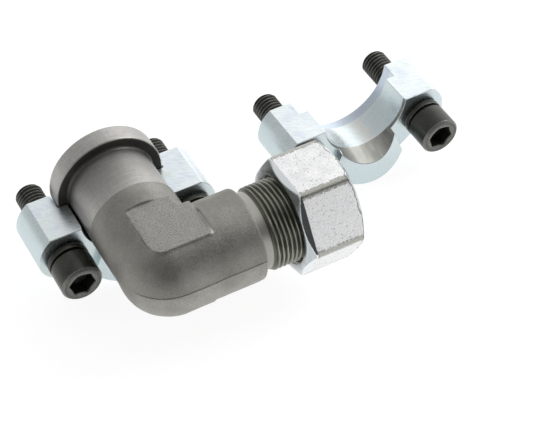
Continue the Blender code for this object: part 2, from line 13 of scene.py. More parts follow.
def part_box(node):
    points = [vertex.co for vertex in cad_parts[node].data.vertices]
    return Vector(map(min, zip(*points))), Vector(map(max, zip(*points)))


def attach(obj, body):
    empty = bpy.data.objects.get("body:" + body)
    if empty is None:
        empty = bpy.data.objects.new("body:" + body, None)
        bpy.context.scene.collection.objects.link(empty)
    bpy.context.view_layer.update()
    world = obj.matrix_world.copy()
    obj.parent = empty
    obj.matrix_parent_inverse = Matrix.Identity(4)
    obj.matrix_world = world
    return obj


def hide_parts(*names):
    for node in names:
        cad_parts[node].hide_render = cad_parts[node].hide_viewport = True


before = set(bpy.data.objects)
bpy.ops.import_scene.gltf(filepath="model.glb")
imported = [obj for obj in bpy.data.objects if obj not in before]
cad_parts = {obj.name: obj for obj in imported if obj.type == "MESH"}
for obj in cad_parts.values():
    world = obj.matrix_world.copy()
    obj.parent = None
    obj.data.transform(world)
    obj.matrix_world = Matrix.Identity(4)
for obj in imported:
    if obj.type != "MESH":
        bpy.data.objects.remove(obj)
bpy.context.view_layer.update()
MM = 0.001


def box(node):
    """Lowest and highest corner of a solid, in millimetres."""
    low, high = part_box(node)
    return [value / MM for value in low], [value / MM for value in high]


# Axes of the fitting, read from the frame.
ELBOW_LOW, ELBOW_HIGH = box("elbow_body")
HALF_LOW, HALF_HIGH = box("flange_half_seated")
NUT_LOW, NUT_HIGH = box("union_nut")
RING_LOW, RING_HIGH = box("cutting_ring")
INLET_X = 0.5 * (HALF_LOW[0] + HALF_HIGH[0])
MATING_Y = HALF_HIGH[1]
AXIS_Z = 0.5 * (ELBOW_LOW[2] + ELBOW_HIGH[2])
OUTLET_Y = 0.5 * (RING_LOW[1] + RING_HIGH[1])
CROSSING = OUTLET_Y - MATING_Y
BASE = (INLET_X, MATING_Y, AXIS_Z)

# Flange head.
COLLAR_RADIUS = 0.5 * (ELBOW_HIGH[2] - ELBOW_LOW[2])
COLLAR_FACE = ELBOW_HIGH[1] - MATING_Y
COLLAR_THICKNESS = 8.5
COLLAR_EDGE = 0.7
NECK_RADIUS = 19.05
NECK_FILLET = 1.3
NECK_END = -30.7
HEAD_END = NECK_END - 0.6
GROOVE_INNER = 15.985
GROOVE_OUTER = 20.415
GROOVE_DEPTH = 2.9
BORE_RADIUS = 10.0
BORE_CHAMFER = 0.8

# Forging.
FORGED_RADIUS = 19.45
OUTLET_RADIUS = 19.7
CROTCH_BLEND = 3.2
OUTER_BLEND = 0.6
BLEND_CHANGES = (-6.0, 14.0)
CORNER_PIVOT = OUTLET_RADIUS + 1.05 * CROTCH_BLEND
CORNER_RINGS = 150
HALVINGS = 32
LARGEST_CUT = 0.48
PARTING_HEIGHT = 2.8
PARTING_STEP = 0.25
DIE_SHIFT = 0.15
LOWER_BOSS = 0.55
LOWER_BOSS_START = (-9.0, 1.0)
LOWER_BOSS_END = (12.4, 13.0)
LOWER_BOSS_DEPTH = (1.0, 10.0)
PAD_HEIGHT = 18.5
PAD_HALF_WIDTH = 8.3
PAD_REACH_INLET = 18.2
PAD_REACH_OUTLET = 17.0
PAD_WEB = 11.8
WEB_WAVE = 0.22
WEB_WAVE_TURNS = 1.2
WEB_WAVE_PHASE = 0.6
PAD_CORNER = 5.5
PAD_LIP = 0.4
PAD_BLEND = 0.9
WAVINESS = 0.035

# Cone end.
SHOULDER_REACH = 35.2
SHOULDER_EDGE = 0.9
FORGED_TO_SHOULDER = 1.6
THREAD_RADIUS = 18.0
THREAD_DEPTH = 1.15
THREAD_PITCH = 2.0
THREAD_ROOT_AT = 0.86
THREAD_FLANK = 0.68
THREAD_SLICES = 8.0
RELIEF_RADIUS = 16.6
THREAD_START = 39.4
CONE_END = ELBOW_HIGH[0] - INLET_X
CONE_RADIUS = 13.939
SOCKET_RADIUS = 12.6
CONE_DEPTH = 6.3
SOCKET_DEPTH = 12.0
CONE_END_CHAMFER = 1.5

# Points round the large rings, the small ones and the screws.
AROUND = 256
SMALL_AROUND = 128
SCREW_AROUND = 96

# Angle between two edges of a hexagon, seen from its axis, and half of it.
SIDE_TURN = math.pi / 3.0
HALF_SIDE_TURN = math.pi / 6.0

# Union nut, cutting ring and seal.
NUT_START = NUT_LOW[0] - INLET_X
NUT_END = NUT_HIGH[0] - INLET_X
NUT_HALF_FLATS = 22.7
NUT_EDGE_RADIUS = 2.4
NUT_FACE_INSET = 1.0
NUT_FACET = 3.0
NUT_CHAMFERED = 3.0
NUT_FIRST_ROW = 0.05
NUT_THREAD_DEPTH = 0.9
NUT_FACET_SLOPE = math.tan(math.radians(12.0))
NUT_SLOPE = math.tan(math.radians(60.0))
NUT_TURNED_BY = math.radians(-2.3)
NUT_BORE = 18.35
NUT_LEAD_IN = 1.2
NUT_TUBE_HOLE = 13.0
NUT_END_WALL = 5.0
NUT_SEAT = NUT_END - NUT_END_WALL
FLAT_STEPS = 22
EDGE_STEPS = 10
RING_FRONT = RING_LOW[0] - INLET_X
RING_BACK = RING_HIGH[0] - INLET_X
RING_BORE = 12.62
RING_RADIUS = 0.5 * (RING_HIGH[2] - RING_LOW[2])
RING_NOSE = 13.12
RING_NOSE_LENGTH = 3.8
RING_BACK_RADIUS = 13.42
CONE_ANGLE = math.radians(12.0)
SEAL_RADIUS = 18.2
SEAL_SECTION = 1.765
SEAL_STANDS_OUT = 0.93

# Clamping halves.
HUB_HEIGHT = 8.7
HALF_THICKNESS = HALF_HIGH[1] - HALF_LOW[1] - HUB_HEIGHT
HALF_TOP = HALF_HIGH[2] - AXIS_Z
HALF_RADIUS = AXIS_Z - HALF_LOW[2]
HALF_BORE = 20.0
RECESS_RADIUS = 24.2
RECESS_DEPTH = 8.4
LEAD_IN_DEPTH = 4.9
LEAD_IN_FLARE = 0.25
BOLT_ASIDE = 28.601
BOLT_DROP = 13.9
BOLT_HOLE = 6.75
HOLE_CHAMFER = 0.5
EAR_RADIUS = 11.9
EAR_TOP_REACH = 5.85
HUB_END_HEIGHT = 2.6
HUB_SPREAD = 0.4024
HUB_FAN_ABOVE = 15.0
HUB_COLUMNS = 41
HUB_END_COLUMNS = 9
HUB_END_SPAN = (0.010, 0.004)
HUB_END_FALL = (0.008, 0.002)
HUB_ROWS = 8
BORE_SIDE_STEPS = 12
MOUTH_DEPTH = 1.5
MOUTH_START = MOUTH_DEPTH - HALF_THICKNESS
MOUTH_SLOPE = math.tan(math.radians(14.4))
HALF_EDGE = 0.4
BACK_EDGE = 0.2
PARTING_EDGE = 0.4
MEET_ROUNDING = 1.2
LOOSE_SHIFT = (114.001, 0.9, 0.0)
LOOSE_TURN = math.radians(1.0)

# Cap screws and spring washers.
SCREW_SAG = math.radians(1.91)
SCREW_RADIUS = 6.0
SCREW_PITCH = 1.75
SCREW_SLICES = 7.0
SCREW_CHAMFER = 1.3
SCREW_RUN_OUT = 3.0
SCREW_THREAD_DEPTH = 0.95
SCREW_LENGTH = 45.0
SCREW_PLAIN = 9.0
HEAD_RADIUS = 8.9
HEAD_HEIGHT = 12.0
HEAD_SEAT = 4.748
KEY_HALF_FLATS = 5.0
KEY_DEPTH = 6.0
KEY_DRILL_RADIUS = 4.6
KEY_DRILL_DEPTH = 2.3
HEAD_CHAMFER = 0.9
POINT_RADIUS = 0.1
KEY_TURNED_BY = math.radians(12.0)
KEY_RIM = KEY_HALF_FLATS / math.cos(HALF_SIDE_TURN) + 0.35
SCREW_UNDER = -0.5 * HALF_THICKNESS - HEAD_SEAT
SCREW_TOP = SCREW_UNDER - HEAD_HEIGHT
WASHER_INNER = 6.35
WASHER_OUTER = 8.95
WASHER_THICKNESS = 2.5
WASHER_RISE = 1.3
WASHER_SEAT = 0.648
WASHER_SLIT = math.radians(9.0)
WASHER_SLIT_AT = math.radians(50.0)
WASHER_STEPS = 72
FASTENER_SHARP = 38.0

# Colours, linear. Shades are a dark and a light colour between which a noise wanders.
FORGED_SHADES = ((0.225, 0.219, 0.198), (0.305, 0.297, 0.274))
MACHINED_SHADES = ((0.35, 0.34, 0.325), (0.48, 0.466, 0.446))
PAD_SHADES = ((0.215, 0.212, 0.198), (0.415, 0.41, 0.39))
THREAD_SHADES = ((0.125, 0.130, 0.106), (0.35, 0.35, 0.30))
RELIEF_STEEL = (0.50, 0.49, 0.45)
# Painted highlight on the pad's end wall and along the step at the end of the neck.
BRIGHT_STEEL = (0.66, 0.65, 0.62)
WORN_STEEL = (0.40, 0.39, 0.36)
# Painted shade along the step of the forging's parting line.
CREASE_COLOUR = (0.03, 0.03, 0.025)
# Painted shade in the crevice behind the collar, on the collar's back, along the pad's edge and in the
# shoulder step.
ELBOW_DIRT = (0.035, 0.034, 0.028)
NUT_SHADES = ((0.79, 0.80, 0.81), (0.93, 0.93, 0.925))
NUT_EDGE_SHADES = ((0.24, 0.24, 0.21), (0.62, 0.62, 0.58))
CHAMFER_SHADES = ((0.42, 0.47, 0.50), (0.62, 0.66, 0.68))
NUT_PRICK = (0.42, 0.43, 0.44)
NUT_SPECK = (0.27, 0.28, 0.29)
NUT_LINE = (0.12, 0.12, 0.11)
NUT_OUTLINE = (0.17, 0.175, 0.17)
NUT_FACET_COLOUR = (0.80, 0.84, 0.86)
# Painted shade on the upper part of the nut's end face and chamfers next to the elbow's thread.
NUT_GRIME = (0.09, 0.10, 0.085)
NUT_INSIDE = (0.30, 0.30, 0.28)
HALF_SHADES = ((0.76, 0.84, 0.87), (0.88, 0.93, 0.95))
MOUTH_SHADES = ((0.34, 0.345, 0.325), (0.48, 0.475, 0.44))
BLUE_TINT = (0.70, 0.76, 0.88)
GREEN_TINT = (0.74, 0.80, 0.74)
HALF_SPECK = (0.40, 0.46, 0.48)
# Painted shade on the halves: lower down, on faces turned to the left and on faces turned to the front.
ZINC_BELOW = (0.50, 0.60, 0.62)
ZINC_LEFT = (0.48, 0.59, 0.61)
ZINC_FRONT = (0.56, 0.66, 0.68)
# Painted brown reflection on a stretch of the small bore.
ZINC_BROWNED = (0.58, 0.53, 0.46)
# Painted reflection: a bluish darker band on the lead-in of the recess.
ZINC_LEAD_IN = (0.50, 0.57, 0.68)
ZINC_WORN = (0.88, 0.92, 0.93)
BLACK_SHADES = ((0.024, 0.025, 0.018), (0.044, 0.045, 0.036))
BLACK_CREST = (0.13, 0.13, 0.11)
# Wear on the screws' edges, and a painted highlight on the rims of the heads.
BLACK_WORN = (0.26, 0.255, 0.24)
RING_SHADES = ((0.40, 0.36, 0.28), (0.56, 0.52, 0.44))
RING_WORN = (0.70, 0.68, 0.62)
RUBBER_SHADES = ((0.014, 0.014, 0.015), (0.030, 0.030, 0.031))

# Middle stretch of a noise, and sizes of the marks on the meshes.
NOISE_LOW = 0.3
NOISE_HIGH = 0.7
# Place and width of the painted brown reflection in the bore.
BROWNED_PLACE = 4.0
BROWNED_SPREAD = 3.0
NUT_MARK_SPAN = 30.0

# Camera, fitted to the photo: 542 by 436 pixels, focal length and middle of the picture in pixels.
PICTURE_WIDTH = 542.0
PICTURE_HEIGHT = 436.0
FOCAL_PIXELS = 1616.7
MIDDLE_PIXEL = (271.3, 221.9)
CAMERA_AZIMUTH = math.radians(-28.09)
CAMERA_ELEVATION = math.radians(46.93)
CAMERA_ROLL = math.radians(-0.86)
CAMERA_DISTANCE = 665.0
CAMERA_TARGET = (51.33, -52.77, -8.39)
CAMERA_CLIP = (0.01, 20.0)
SENSOR_WIDTH = 36.0

# Light: a lobe is its direction, the cosines between which it fades in, and its strength.
WORLD_LEVEL = 0.88
WORLD_LEAST = 0.06
WORLD_LOBES = [
    ((-0.08, -0.88, 0.43), (0.38, 0.84), -0.84),
    ((0.45, -0.89, 0.0), (0.92, 0.985), 1.35),
    ((-0.6, 0.5, 0.6), (0.6, 0.95), -0.32),
    ((0.75, 0.55, 0.2), (0.72, 0.95), 0.70),
]
FLOOR_REACH = 12.0
FLOOR_COLOUR = 0.22
FLOOR_GLOW = 0.89
LAMP_PLACE = (1.15, 0.0, 1.0)
LAMP_POWER = 7.0
LAMP_SIZE = (0.9, 0.7)
WHITE = (1.0, 1.0, 1.0, 1.0)


def new_object(name, data):
    """Object that is linked to the scene."""
    item = bpy.data.objects.new(name, data)
    bpy.context.scene.collection.objects.link(item)
    return item


def place(name, shell, body, stands_for, material, sharp=FASTENER_SHARP, matrix=None):
    """Makes a piece from a shell in millimetres; edges above an angle in degrees stay sharp."""
    mesh = bpy.data.meshes.new(name)
    shell.to_mesh(mesh)
    shell.free()
    shift = Matrix.Translation(Vector(BASE))
    mesh.transform(Matrix.Scale(MM, 4) @ shift @ (matrix or Matrix.Identity(4)))
    item = new_object(name, mesh)
    mesh.materials.append(material)
    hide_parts(stands_for)
    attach(item, body)
    mesh.shade_smooth()
    mesh.set_sharp_from_angle(angle=math.radians(sharp))
    return item


def softened(profile, closed=False, steps=4):
    """Rounds the corners of a profile of (place, radius, rounding) points."""
    count = len(profile)
    points = []
    for index, (u, v, rounding) in enumerate(profile):
        here = Vector((u, v))
        inner = closed or 0 < index < count - 1
        if rounding <= 0.0 or not inner:
            points.append((u, v))
            continue
        before = Vector(profile[index - 1][:2]) - here
        after = Vector(profile[(index + 1) % count][:2]) - here
        opening = before.angle(after)
        cut = min(rounding / math.tan(0.5 * opening), LARGEST_CUT * min(before.length, after.length))
        start = here + cut * before.normalized()
        end = here + cut * after.normalized()
        for step in range(steps + 1):
            t = step / steps
            bend = (1 - t) ** 2 * start + 2 * t * (1 - t) * here + t * t * end
            points.append((bend.x, bend.y))
    return points


def skin(rings, looped):
    """Joins rings of equal count; a looped row of rings closes on itself, else its ends get flat caps."""
    count = len(rings[0])
    points = np.concatenate(rings)
    shell = bmesh.new()
    verts = [shell.verts.new(point) for point in points]
    last = len(rings) if looped else len(rings) - 1
    for row in range(last):
        low = row * count
        high = ((row + 1) % len(rings)) * count
        for k in range(count):
            j = (k + 1) % count
            shell.faces.new((verts[low + k], verts[low + j], verts[high + j], verts[high + k]))
    if not looped:
        shell.faces.new(verts[:count])
        shell.faces.new(verts[-count:])
    bmesh.ops.recalc_face_normals(shell, faces=shell.faces)
    return shell


def ring_angles(count=AROUND):
    return np.arange(count) * (2.0 * math.pi / count)


def ring(axis, along, radius, angles=ring_angles()):
    """Ring about the axis of the cone end, x, of the flange head, y, or of a screw, z."""
    across = radius * np.cos(angles)
    up = radius * np.sin(angles)
    level = np.full(len(angles), along)
    if axis == "x":
        return np.stack([level, CROSSING + across, up], axis=1)
    if axis == "y":
        return np.stack([across, level, up], axis=1)
    return np.stack([across, up, level], axis=1)


def turned(axis, profile, angles=ring_angles()):
    """Rings of a profile of (place, radius) points that is turned about an axis."""
    return [ring(axis, along, radius, angles) for along, radius in profile]


def thread_rows(start, end, pitch, slices, angles, origin):
    """Places from start to end, each with the height round it of a right-handed thread, root 0 to crest 1."""
    steps = int(abs(end - start) / (pitch / slices))
    rows = []
    for step in range(steps + 1):
        along = start + (end - start) * step / steps
        phase = (along - origin) / pitch - angles / (2.0 * math.pi)
        from_crest = np.abs(2.0 * (phase % 1.0) - 1.0)
        rows.append((along, np.clip((THREAD_ROOT_AT - from_crest) / THREAD_FLANK, 0.0, 1.0)))
    return rows


def smooth_min(a, b, width):
    """Lesser of two values, with a rounding where they are closer than a width."""
    nearness = np.maximum(width - np.abs(a - b), 0.0) / width
    return np.minimum(a, b) - 0.25 * nearness * nearness * width


def smooth_max(a, b, width):
    return -smooth_min(-a, -b, width)


def smooth_step(value, low, high):
    t = np.clip((value - low) / (high - low), 0.0, 1.0)
    return t * t * (3.0 - 2.0 * t)


def bell(value, width):
    """1 at zero, falling off over a width on both sides."""
    return np.exp(-(value / width) ** 2)


def near(value, middle, inner, outer):
    """1 within an inner distance of a middle, 0 beyond an outer one."""
    return smooth_step(-np.abs(value - middle), -outer, -inner)


def pad_plan(x, y):
    """Signed distance in plan to the outline of the pad; x and y from where the two axes cross."""
    corner_x = PAD_CORNER - PAD_HALF_WIDTH - x
    corner_y = PAD_CORNER - PAD_HALF_WIDTH - y
    rounded = np.hypot(np.maximum(corner_x, 0.0), np.maximum(corner_y, 0.0)) - PAD_CORNER
    flat = np.maximum(corner_x, corner_y) - PAD_CORNER
    outer = np.where((corner_x > 0.0) & (corner_y > 0.0), rounded, flat)
    ragged = WEB_WAVE * np.sin(WEB_WAVE_TURNS * (x - y) + WEB_WAVE_PHASE)
    web = smooth_min(x - PAD_WEB, y - PAD_WEB, 1.5) + ragged
    ends = smooth_max(x - PAD_REACH_OUTLET, y - PAD_REACH_INLET, 1.0)
    return smooth_max(smooth_max(outer, ends, 0.8), web, 0.8)


def forging(points):
    """Signed distance to the forged corner, with its pads, its parting step and the boss below the outlet."""
    x = points[:, 0]
    y = points[:, 1] - CROSSING
    z = points[:, 2]
    lower = 1.0 - smooth_step(z, PARTING_HEIGHT - PARTING_STEP, PARTING_HEIGHT + PARTING_STEP)
    boss = smooth_step(x, *LOWER_BOSS_START) * (1.0 - smooth_step(x, *LOWER_BOSS_END))
    moved_y = y + DIE_SHIFT * lower + LOWER_BOSS * boss * smooth_step(-z, *LOWER_BOSS_DEPTH)
    to_inlet = np.sqrt(x * x + np.minimum(moved_y, 0.0) ** 2 + z * z) - FORGED_RADIUS
    to_outlet = np.sqrt(np.minimum(x, 0.0) ** 2 + moved_y ** 2 + z * z) - OUTLET_RADIUS
    rounding = OUTER_BLEND + (CROTCH_BLEND - OUTER_BLEND) * smooth_step(x + y, *BLEND_CHANGES)
    round_arms = smooth_min(to_inlet, to_outlet, rounding)
    plan = pad_plan(x, y)
    high = np.abs(z)
    web = smooth_max(plan, high - PAD_HEIGHT, 0.6)
    shape = smooth_min(round_arms, web, PAD_BLEND)
    above = smooth_max(plan - PAD_LIP, PAD_HEIGHT - high, 0.6)
    return smooth_max(shape, -above, 0.5)


def cast(centre, headings, reach):
    """Points where rays from a centre leave the forging, slightly uneven."""
    inside = np.zeros(len(headings))
    outside = np.full(len(headings), reach)
    for _ in range(HALVINGS):
        middle = 0.5 * (inside + outside)
        within = forging(centre + middle[:, None] * headings) < 0.0
        inside = np.where(within, middle, inside)
        outside = np.where(within, outside, middle)
    waves = np.array([forged_wave(centre + r * h) for r, h in zip(inside, headings)])
    return centre + (inside + waves)[:, None] * headings


def forged_wave(point):
    """Slight unevenness that the die leaves on the forging."""
    return WAVINESS * noise.noise(Vector(point) * 0.35) + 0.4 * WAVINESS * noise.noise(Vector(point) * 1.1)


def corner_rings():
    """Rings of the forged corner in upright planes that turn about the crotch pivot."""
    angle = ring_angles()
    rings = []
    for step in range(CORNER_RINGS + 1):
        turn = 0.5 * math.pi * step / CORNER_RINGS
        inward = np.array([math.cos(turn), math.sin(turn), 0.0])
        reach = CORNER_PIVOT / max(inward[0], inward[1])
        centre = np.array([CORNER_PIVOT, CROSSING + CORNER_PIVOT, 0.0]) - reach * inward
        headings = np.cos(angle)[:, None] * inward + np.sin(angle)[:, None] * np.array([0.0, 0.0, 1.0])
        rings.append(cast(centre, headings, 2.0 * CORNER_PIVOT))
    return rings


def arm_rings(axis, start, end, steps):
    """Rings of a straight forged arm between two places on its axis, both left out."""
    rings = []
    for step in range(1, steps):
        along = start + (end - start) * step / steps
        centre = ring(axis, along, 0.0)[0]
        rings.append(cast(centre, ring(axis, along, 1.0) - centre, 2.0 * CORNER_PIVOT))
    return rings


def head_rings():
    """Flange head and machined neck, from the bore over the sealing face."""
    back = COLLAR_FACE - COLLAR_THICKNESS
    profile = [
        (COLLAR_FACE - BORE_CHAMFER, BORE_RADIUS, 0.0),
        (COLLAR_FACE, BORE_RADIUS + BORE_CHAMFER, 0.2),
        (COLLAR_FACE, GROOVE_INNER, 0.15),
        (COLLAR_FACE - GROOVE_DEPTH, GROOVE_INNER, 0.3),
        (COLLAR_FACE - GROOVE_DEPTH, GROOVE_OUTER, 0.3),
        (COLLAR_FACE, GROOVE_OUTER, 0.15),
        (COLLAR_FACE, COLLAR_RADIUS, COLLAR_EDGE),
        (back, COLLAR_RADIUS, COLLAR_EDGE),
        (back, NECK_RADIUS, NECK_FILLET),
        (NECK_END, NECK_RADIUS, 0.1),
        (NECK_END - 0.25, FORGED_RADIUS, 0.1),
        (HEAD_END, FORGED_RADIUS, 0.0),
    ]
    return turned("y", softened(profile))


def cone_end_rings():
    """Machined outlet: shoulder, relief, thread, cone and socket."""
    shoulder = [
        (SHOULDER_REACH - FORGED_TO_SHOULDER, OUTLET_RADIUS, 0.0),
        (SHOULDER_REACH, OUTLET_RADIUS, SHOULDER_EDGE),
        (SHOULDER_REACH, RELIEF_RADIUS, 0.4),
        (THREAD_START, RELIEF_RADIUS, 0.4),
        (THREAD_START + 0.4, THREAD_RADIUS - THREAD_DEPTH, 0.0),
    ]
    rings = turned("x", softened(shoulder))
    root = THREAD_RADIUS - THREAD_DEPTH
    rows = thread_rows(THREAD_START + 0.4, CONE_END, THREAD_PITCH, THREAD_SLICES, ring_angles(), THREAD_START)
    for x, height in rows[1:]:
        fade = np.clip(x - THREAD_START, 0.0, 1.6) + root - 0.4
        lead = THREAD_RADIUS - CONE_END_CHAMFER + (CONE_END - x)
        ridge = THREAD_RADIUS - THREAD_DEPTH * (1.0 - height)
        rings.append(ring("x", x, np.minimum(np.minimum(ridge, lead), fade)))
    inside = [
        (CONE_END, THREAD_RADIUS - CONE_END_CHAMFER, 0.0),
        (CONE_END, CONE_RADIUS, 0.2),
        (CONE_END - CONE_DEPTH, SOCKET_RADIUS, 0.3),
        (CONE_END - SOCKET_DEPTH, SOCKET_RADIUS, 0.2),
        (CONE_END - SOCKET_DEPTH, BORE_RADIUS, 0.2),
        (CONE_END - SOCKET_DEPTH - 2.0, BORE_RADIUS, 0.0),
    ]
    return rings + turned("x", softened(inside)[1:])


def mitre_ring():
    """Oval in which both bores meet."""
    angle = ring_angles()
    side = BORE_RADIUS * np.cos(angle)
    return np.stack([side, CROSSING + side, BORE_RADIUS * np.sin(angle)], axis=1)


def build_elbow(material):
    """Forged elbow in one closed skin."""
    forged_end = SHOULDER_REACH - FORGED_TO_SHOULDER
    rings = head_rings()
    rings += arm_rings("y", HEAD_END, CROSSING + CORNER_PIVOT, 8)
    rings += corner_rings()
    rings += arm_rings("x", CORNER_PIVOT, forged_end, 14)
    rings += cone_end_rings()
    rings.append(mitre_ring())
    shell = skin(rings, True)
    elbow = place("elbow", shell, "fitting", "elbow_body", material, sharp=40.0)
    mark_elbow(elbow.data)


def rounded_edge(half_flats, edge_radius):
    """Distance of a rounded edge's centre from a hexagon's axis, and the angle where it meets a flat."""
    centre = (half_flats - edge_radius) / math.cos(HALF_SIDE_TURN)
    return centre, np.arctan2(edge_radius * 0.5, centre + edge_radius * math.cos(HALF_SIDE_TURN))


def hexagon(angles, half_flats, edge_radius):
    """Radius of a hexagon with rounded edges at each angle; the first edge lies at angle zero."""
    from_edge = (angles + HALF_SIDE_TURN) % SIDE_TURN - HALF_SIDE_TURN
    flat = half_flats / np.cos(HALF_SIDE_TURN - np.abs(from_edge))
    if edge_radius <= 0.0:
        return flat
    centre, touch = rounded_edge(half_flats, edge_radius)
    across = np.clip(centre * np.sin(from_edge), -edge_radius, edge_radius)
    rounded = centre * np.cos(from_edge) + np.sqrt(edge_radius ** 2 - across ** 2)
    return np.where(np.abs(from_edge) < touch, rounded, flat)


def nut_angles():
    """Angles round the nut, closer together at its edges."""
    touch = rounded_edge(NUT_HALF_FLATS, NUT_EDGE_RADIUS)[1]
    sector = np.concatenate([
        np.linspace(-touch, touch, EDGE_STEPS, endpoint=False),
        np.linspace(touch, SIDE_TURN - touch, FLAT_STEPS, endpoint=False),
    ])
    return np.concatenate([sector + side * SIDE_TURN for side in range(6)])


def build_nut(material):
    """Union nut: chamfered hexagon outside, thread, ring seat and tube hole inside."""
    from_edge = nut_angles()
    angles = from_edge + NUT_TURNED_BY
    face = NUT_HALF_FLATS - NUT_FACE_INSET
    length = NUT_END - NUT_START
    rings = [ring("x", NUT_START, face - 0.25, angles)]
    first = np.linspace(NUT_FIRST_ROW, NUT_FACET, 24)
    middle = np.linspace(NUT_FACET, length - NUT_CHAMFERED, 10)[1:-1]
    last = length - np.linspace(NUT_CHAMFERED, NUT_FIRST_ROW, 22)
    for depth in [*first, NUT_FACET + 0.1, *middle, *last]:
        from_end = min(depth, length - depth)
        shrunk = max(NUT_FACET - depth, 0.0) * NUT_FACET_SLOPE
        outline = hexagon(from_edge, NUT_HALF_FLATS - shrunk, NUT_EDGE_RADIUS)
        chamfered = smooth_min(outline, face + from_end * NUT_SLOPE, 0.35)
        rings.append(ring("x", NUT_START + depth, chamfered, angles))
    seat_end = NUT_SEAT - NUT_BORE + NUT_TUBE_HOLE
    inside = [
        (NUT_END, face - 0.25, 0.0),
        (NUT_END, NUT_TUBE_HOLE + 0.8, 0.2),
        (NUT_END - 0.8, NUT_TUBE_HOLE, 0.2),
        (NUT_SEAT, NUT_TUBE_HOLE, 0.2),
        (seat_end, NUT_BORE, 0.2),
        (seat_end - 1.0, NUT_BORE, 0.0),
    ]
    rings += turned("x", softened(inside), angles)
    thread_end = seat_end - 1.2
    origin = THREAD_START - 0.5 * THREAD_PITCH
    rows = thread_rows(thread_end, NUT_START, THREAD_PITCH, THREAD_SLICES, angles, origin)
    for x, height in rows[:-1]:
        cut = NUT_BORE + 0.05 + NUT_THREAD_DEPTH * (1.0 - height) * np.clip((thread_end - x) / 2.0, 0.0, 1.0)
        lead = NUT_BORE + NUT_LEAD_IN - (x - NUT_START)
        rings.append(ring("x", x, np.maximum(cut, lead), angles))
    rings.append(ring("x", NUT_START, NUT_BORE + NUT_LEAD_IN, angles))
    nut = place("union_nut_shell", skin(rings, True), "nut", "union_nut", material, sharp=26.0)
    mark_nut(nut.data)


def build_ring(material):
    """Cutting ring with its nose, shoulder and grooved back."""
    taper = RING_NOSE + RING_NOSE_LENGTH * math.tan(CONE_ANGLE)
    shoulder = RING_FRONT + RING_NOSE_LENGTH
    profile = [
        (RING_FRONT, RING_BORE, 0.08),
        (RING_FRONT, RING_NOSE, 0.12),
        (shoulder, taper, 0.3),
        (shoulder + RING_RADIUS - taper, RING_RADIUS, 0.4),
        (RING_BACK - (RING_RADIUS - RING_BACK_RADIUS), RING_RADIUS, 0.4),
        (RING_BACK, RING_BACK_RADIUS, 0.2),
        (RING_BACK, RING_BORE, 0.15),
    ]
    rings = turned("x", softened(profile, True), ring_angles(SMALL_AROUND))
    shell = skin(rings, True)
    place("cutting_ring_turned", shell, "ring", "cutting_ring", material, sharp=30.0)


def build_seal(material):
    """Seal ring in the groove of the flange head."""
    centre = (COLLAR_FACE + SEAL_STANDS_OUT - SEAL_SECTION, SEAL_RADIUS)
    section = arc(centre, SEAL_SECTION, 0.0, 2.0 * math.pi, 24)[:-1]
    rings = turned("y", section, ring_angles(SMALL_AROUND))
    place("seal_ring", skin(rings, True), "fitting", "o_ring", material, sharp=60.0)


def arc(centre, radius, start, end, steps):
    """Points of an arc, both ends included."""
    angles = [start + (end - start) * step / steps for step in range(steps + 1)]
    return [(centre[0] + radius * math.cos(a), centre[1] + radius * math.sin(a)) for a in angles]


def helper(shell):
    """Object that only takes part in a Boolean."""
    mesh = bpy.data.meshes.new("helper")
    shell.to_mesh(mesh)
    shell.free()
    return new_object("helper", mesh)


def cut_away(target, tool):
    modifier = target.modifiers.new("cut", "BOOLEAN")
    modifier.operation = "DIFFERENCE"
    modifier.solver = "EXACT"
    modifier.object = tool


def fan_point(turn, radius):
    """Point at a radius from a half's bore, on the line of the hub's fan at a turn from straight down."""
    along = HUB_FAN_ABOVE * math.cos(turn) + math.sqrt(radius ** 2 - (HUB_FAN_ABOVE * math.sin(turn)) ** 2)
    return along * math.sin(turn), HUB_FAN_ABOVE - along * math.cos(turn)


def hub_turns():
    """Turns of the fan's lines over the hub, closer together at its steep ends."""
    end = np.linspace(HUB_SPREAD - HUB_END_SPAN[0], HUB_SPREAD + HUB_END_SPAN[1], HUB_END_COLUMNS)
    middle = np.linspace(-end[0], end[0], HUB_COLUMNS)[1:-1]
    return [*-end[::-1], *middle, *end]


def hub_height(turn):
    """Height of the hub over the plate on a line of the fan."""
    share = turn / HUB_SPREAD
    crown = HUB_HEIGHT - (HUB_HEIGHT - HUB_END_HEIGHT) * share * share
    fall = smooth_step(abs(turn), HUB_SPREAD - HUB_END_FALL[0], HUB_SPREAD + HUB_END_FALL[1])
    return crown * (1.0 - fall)


def mouth_radius(y):
    """Radius of the bore near the front, where it opens in a cone."""
    return HALF_BORE + np.maximum(MOUTH_START - y, 0.0) * MOUTH_SLOPE


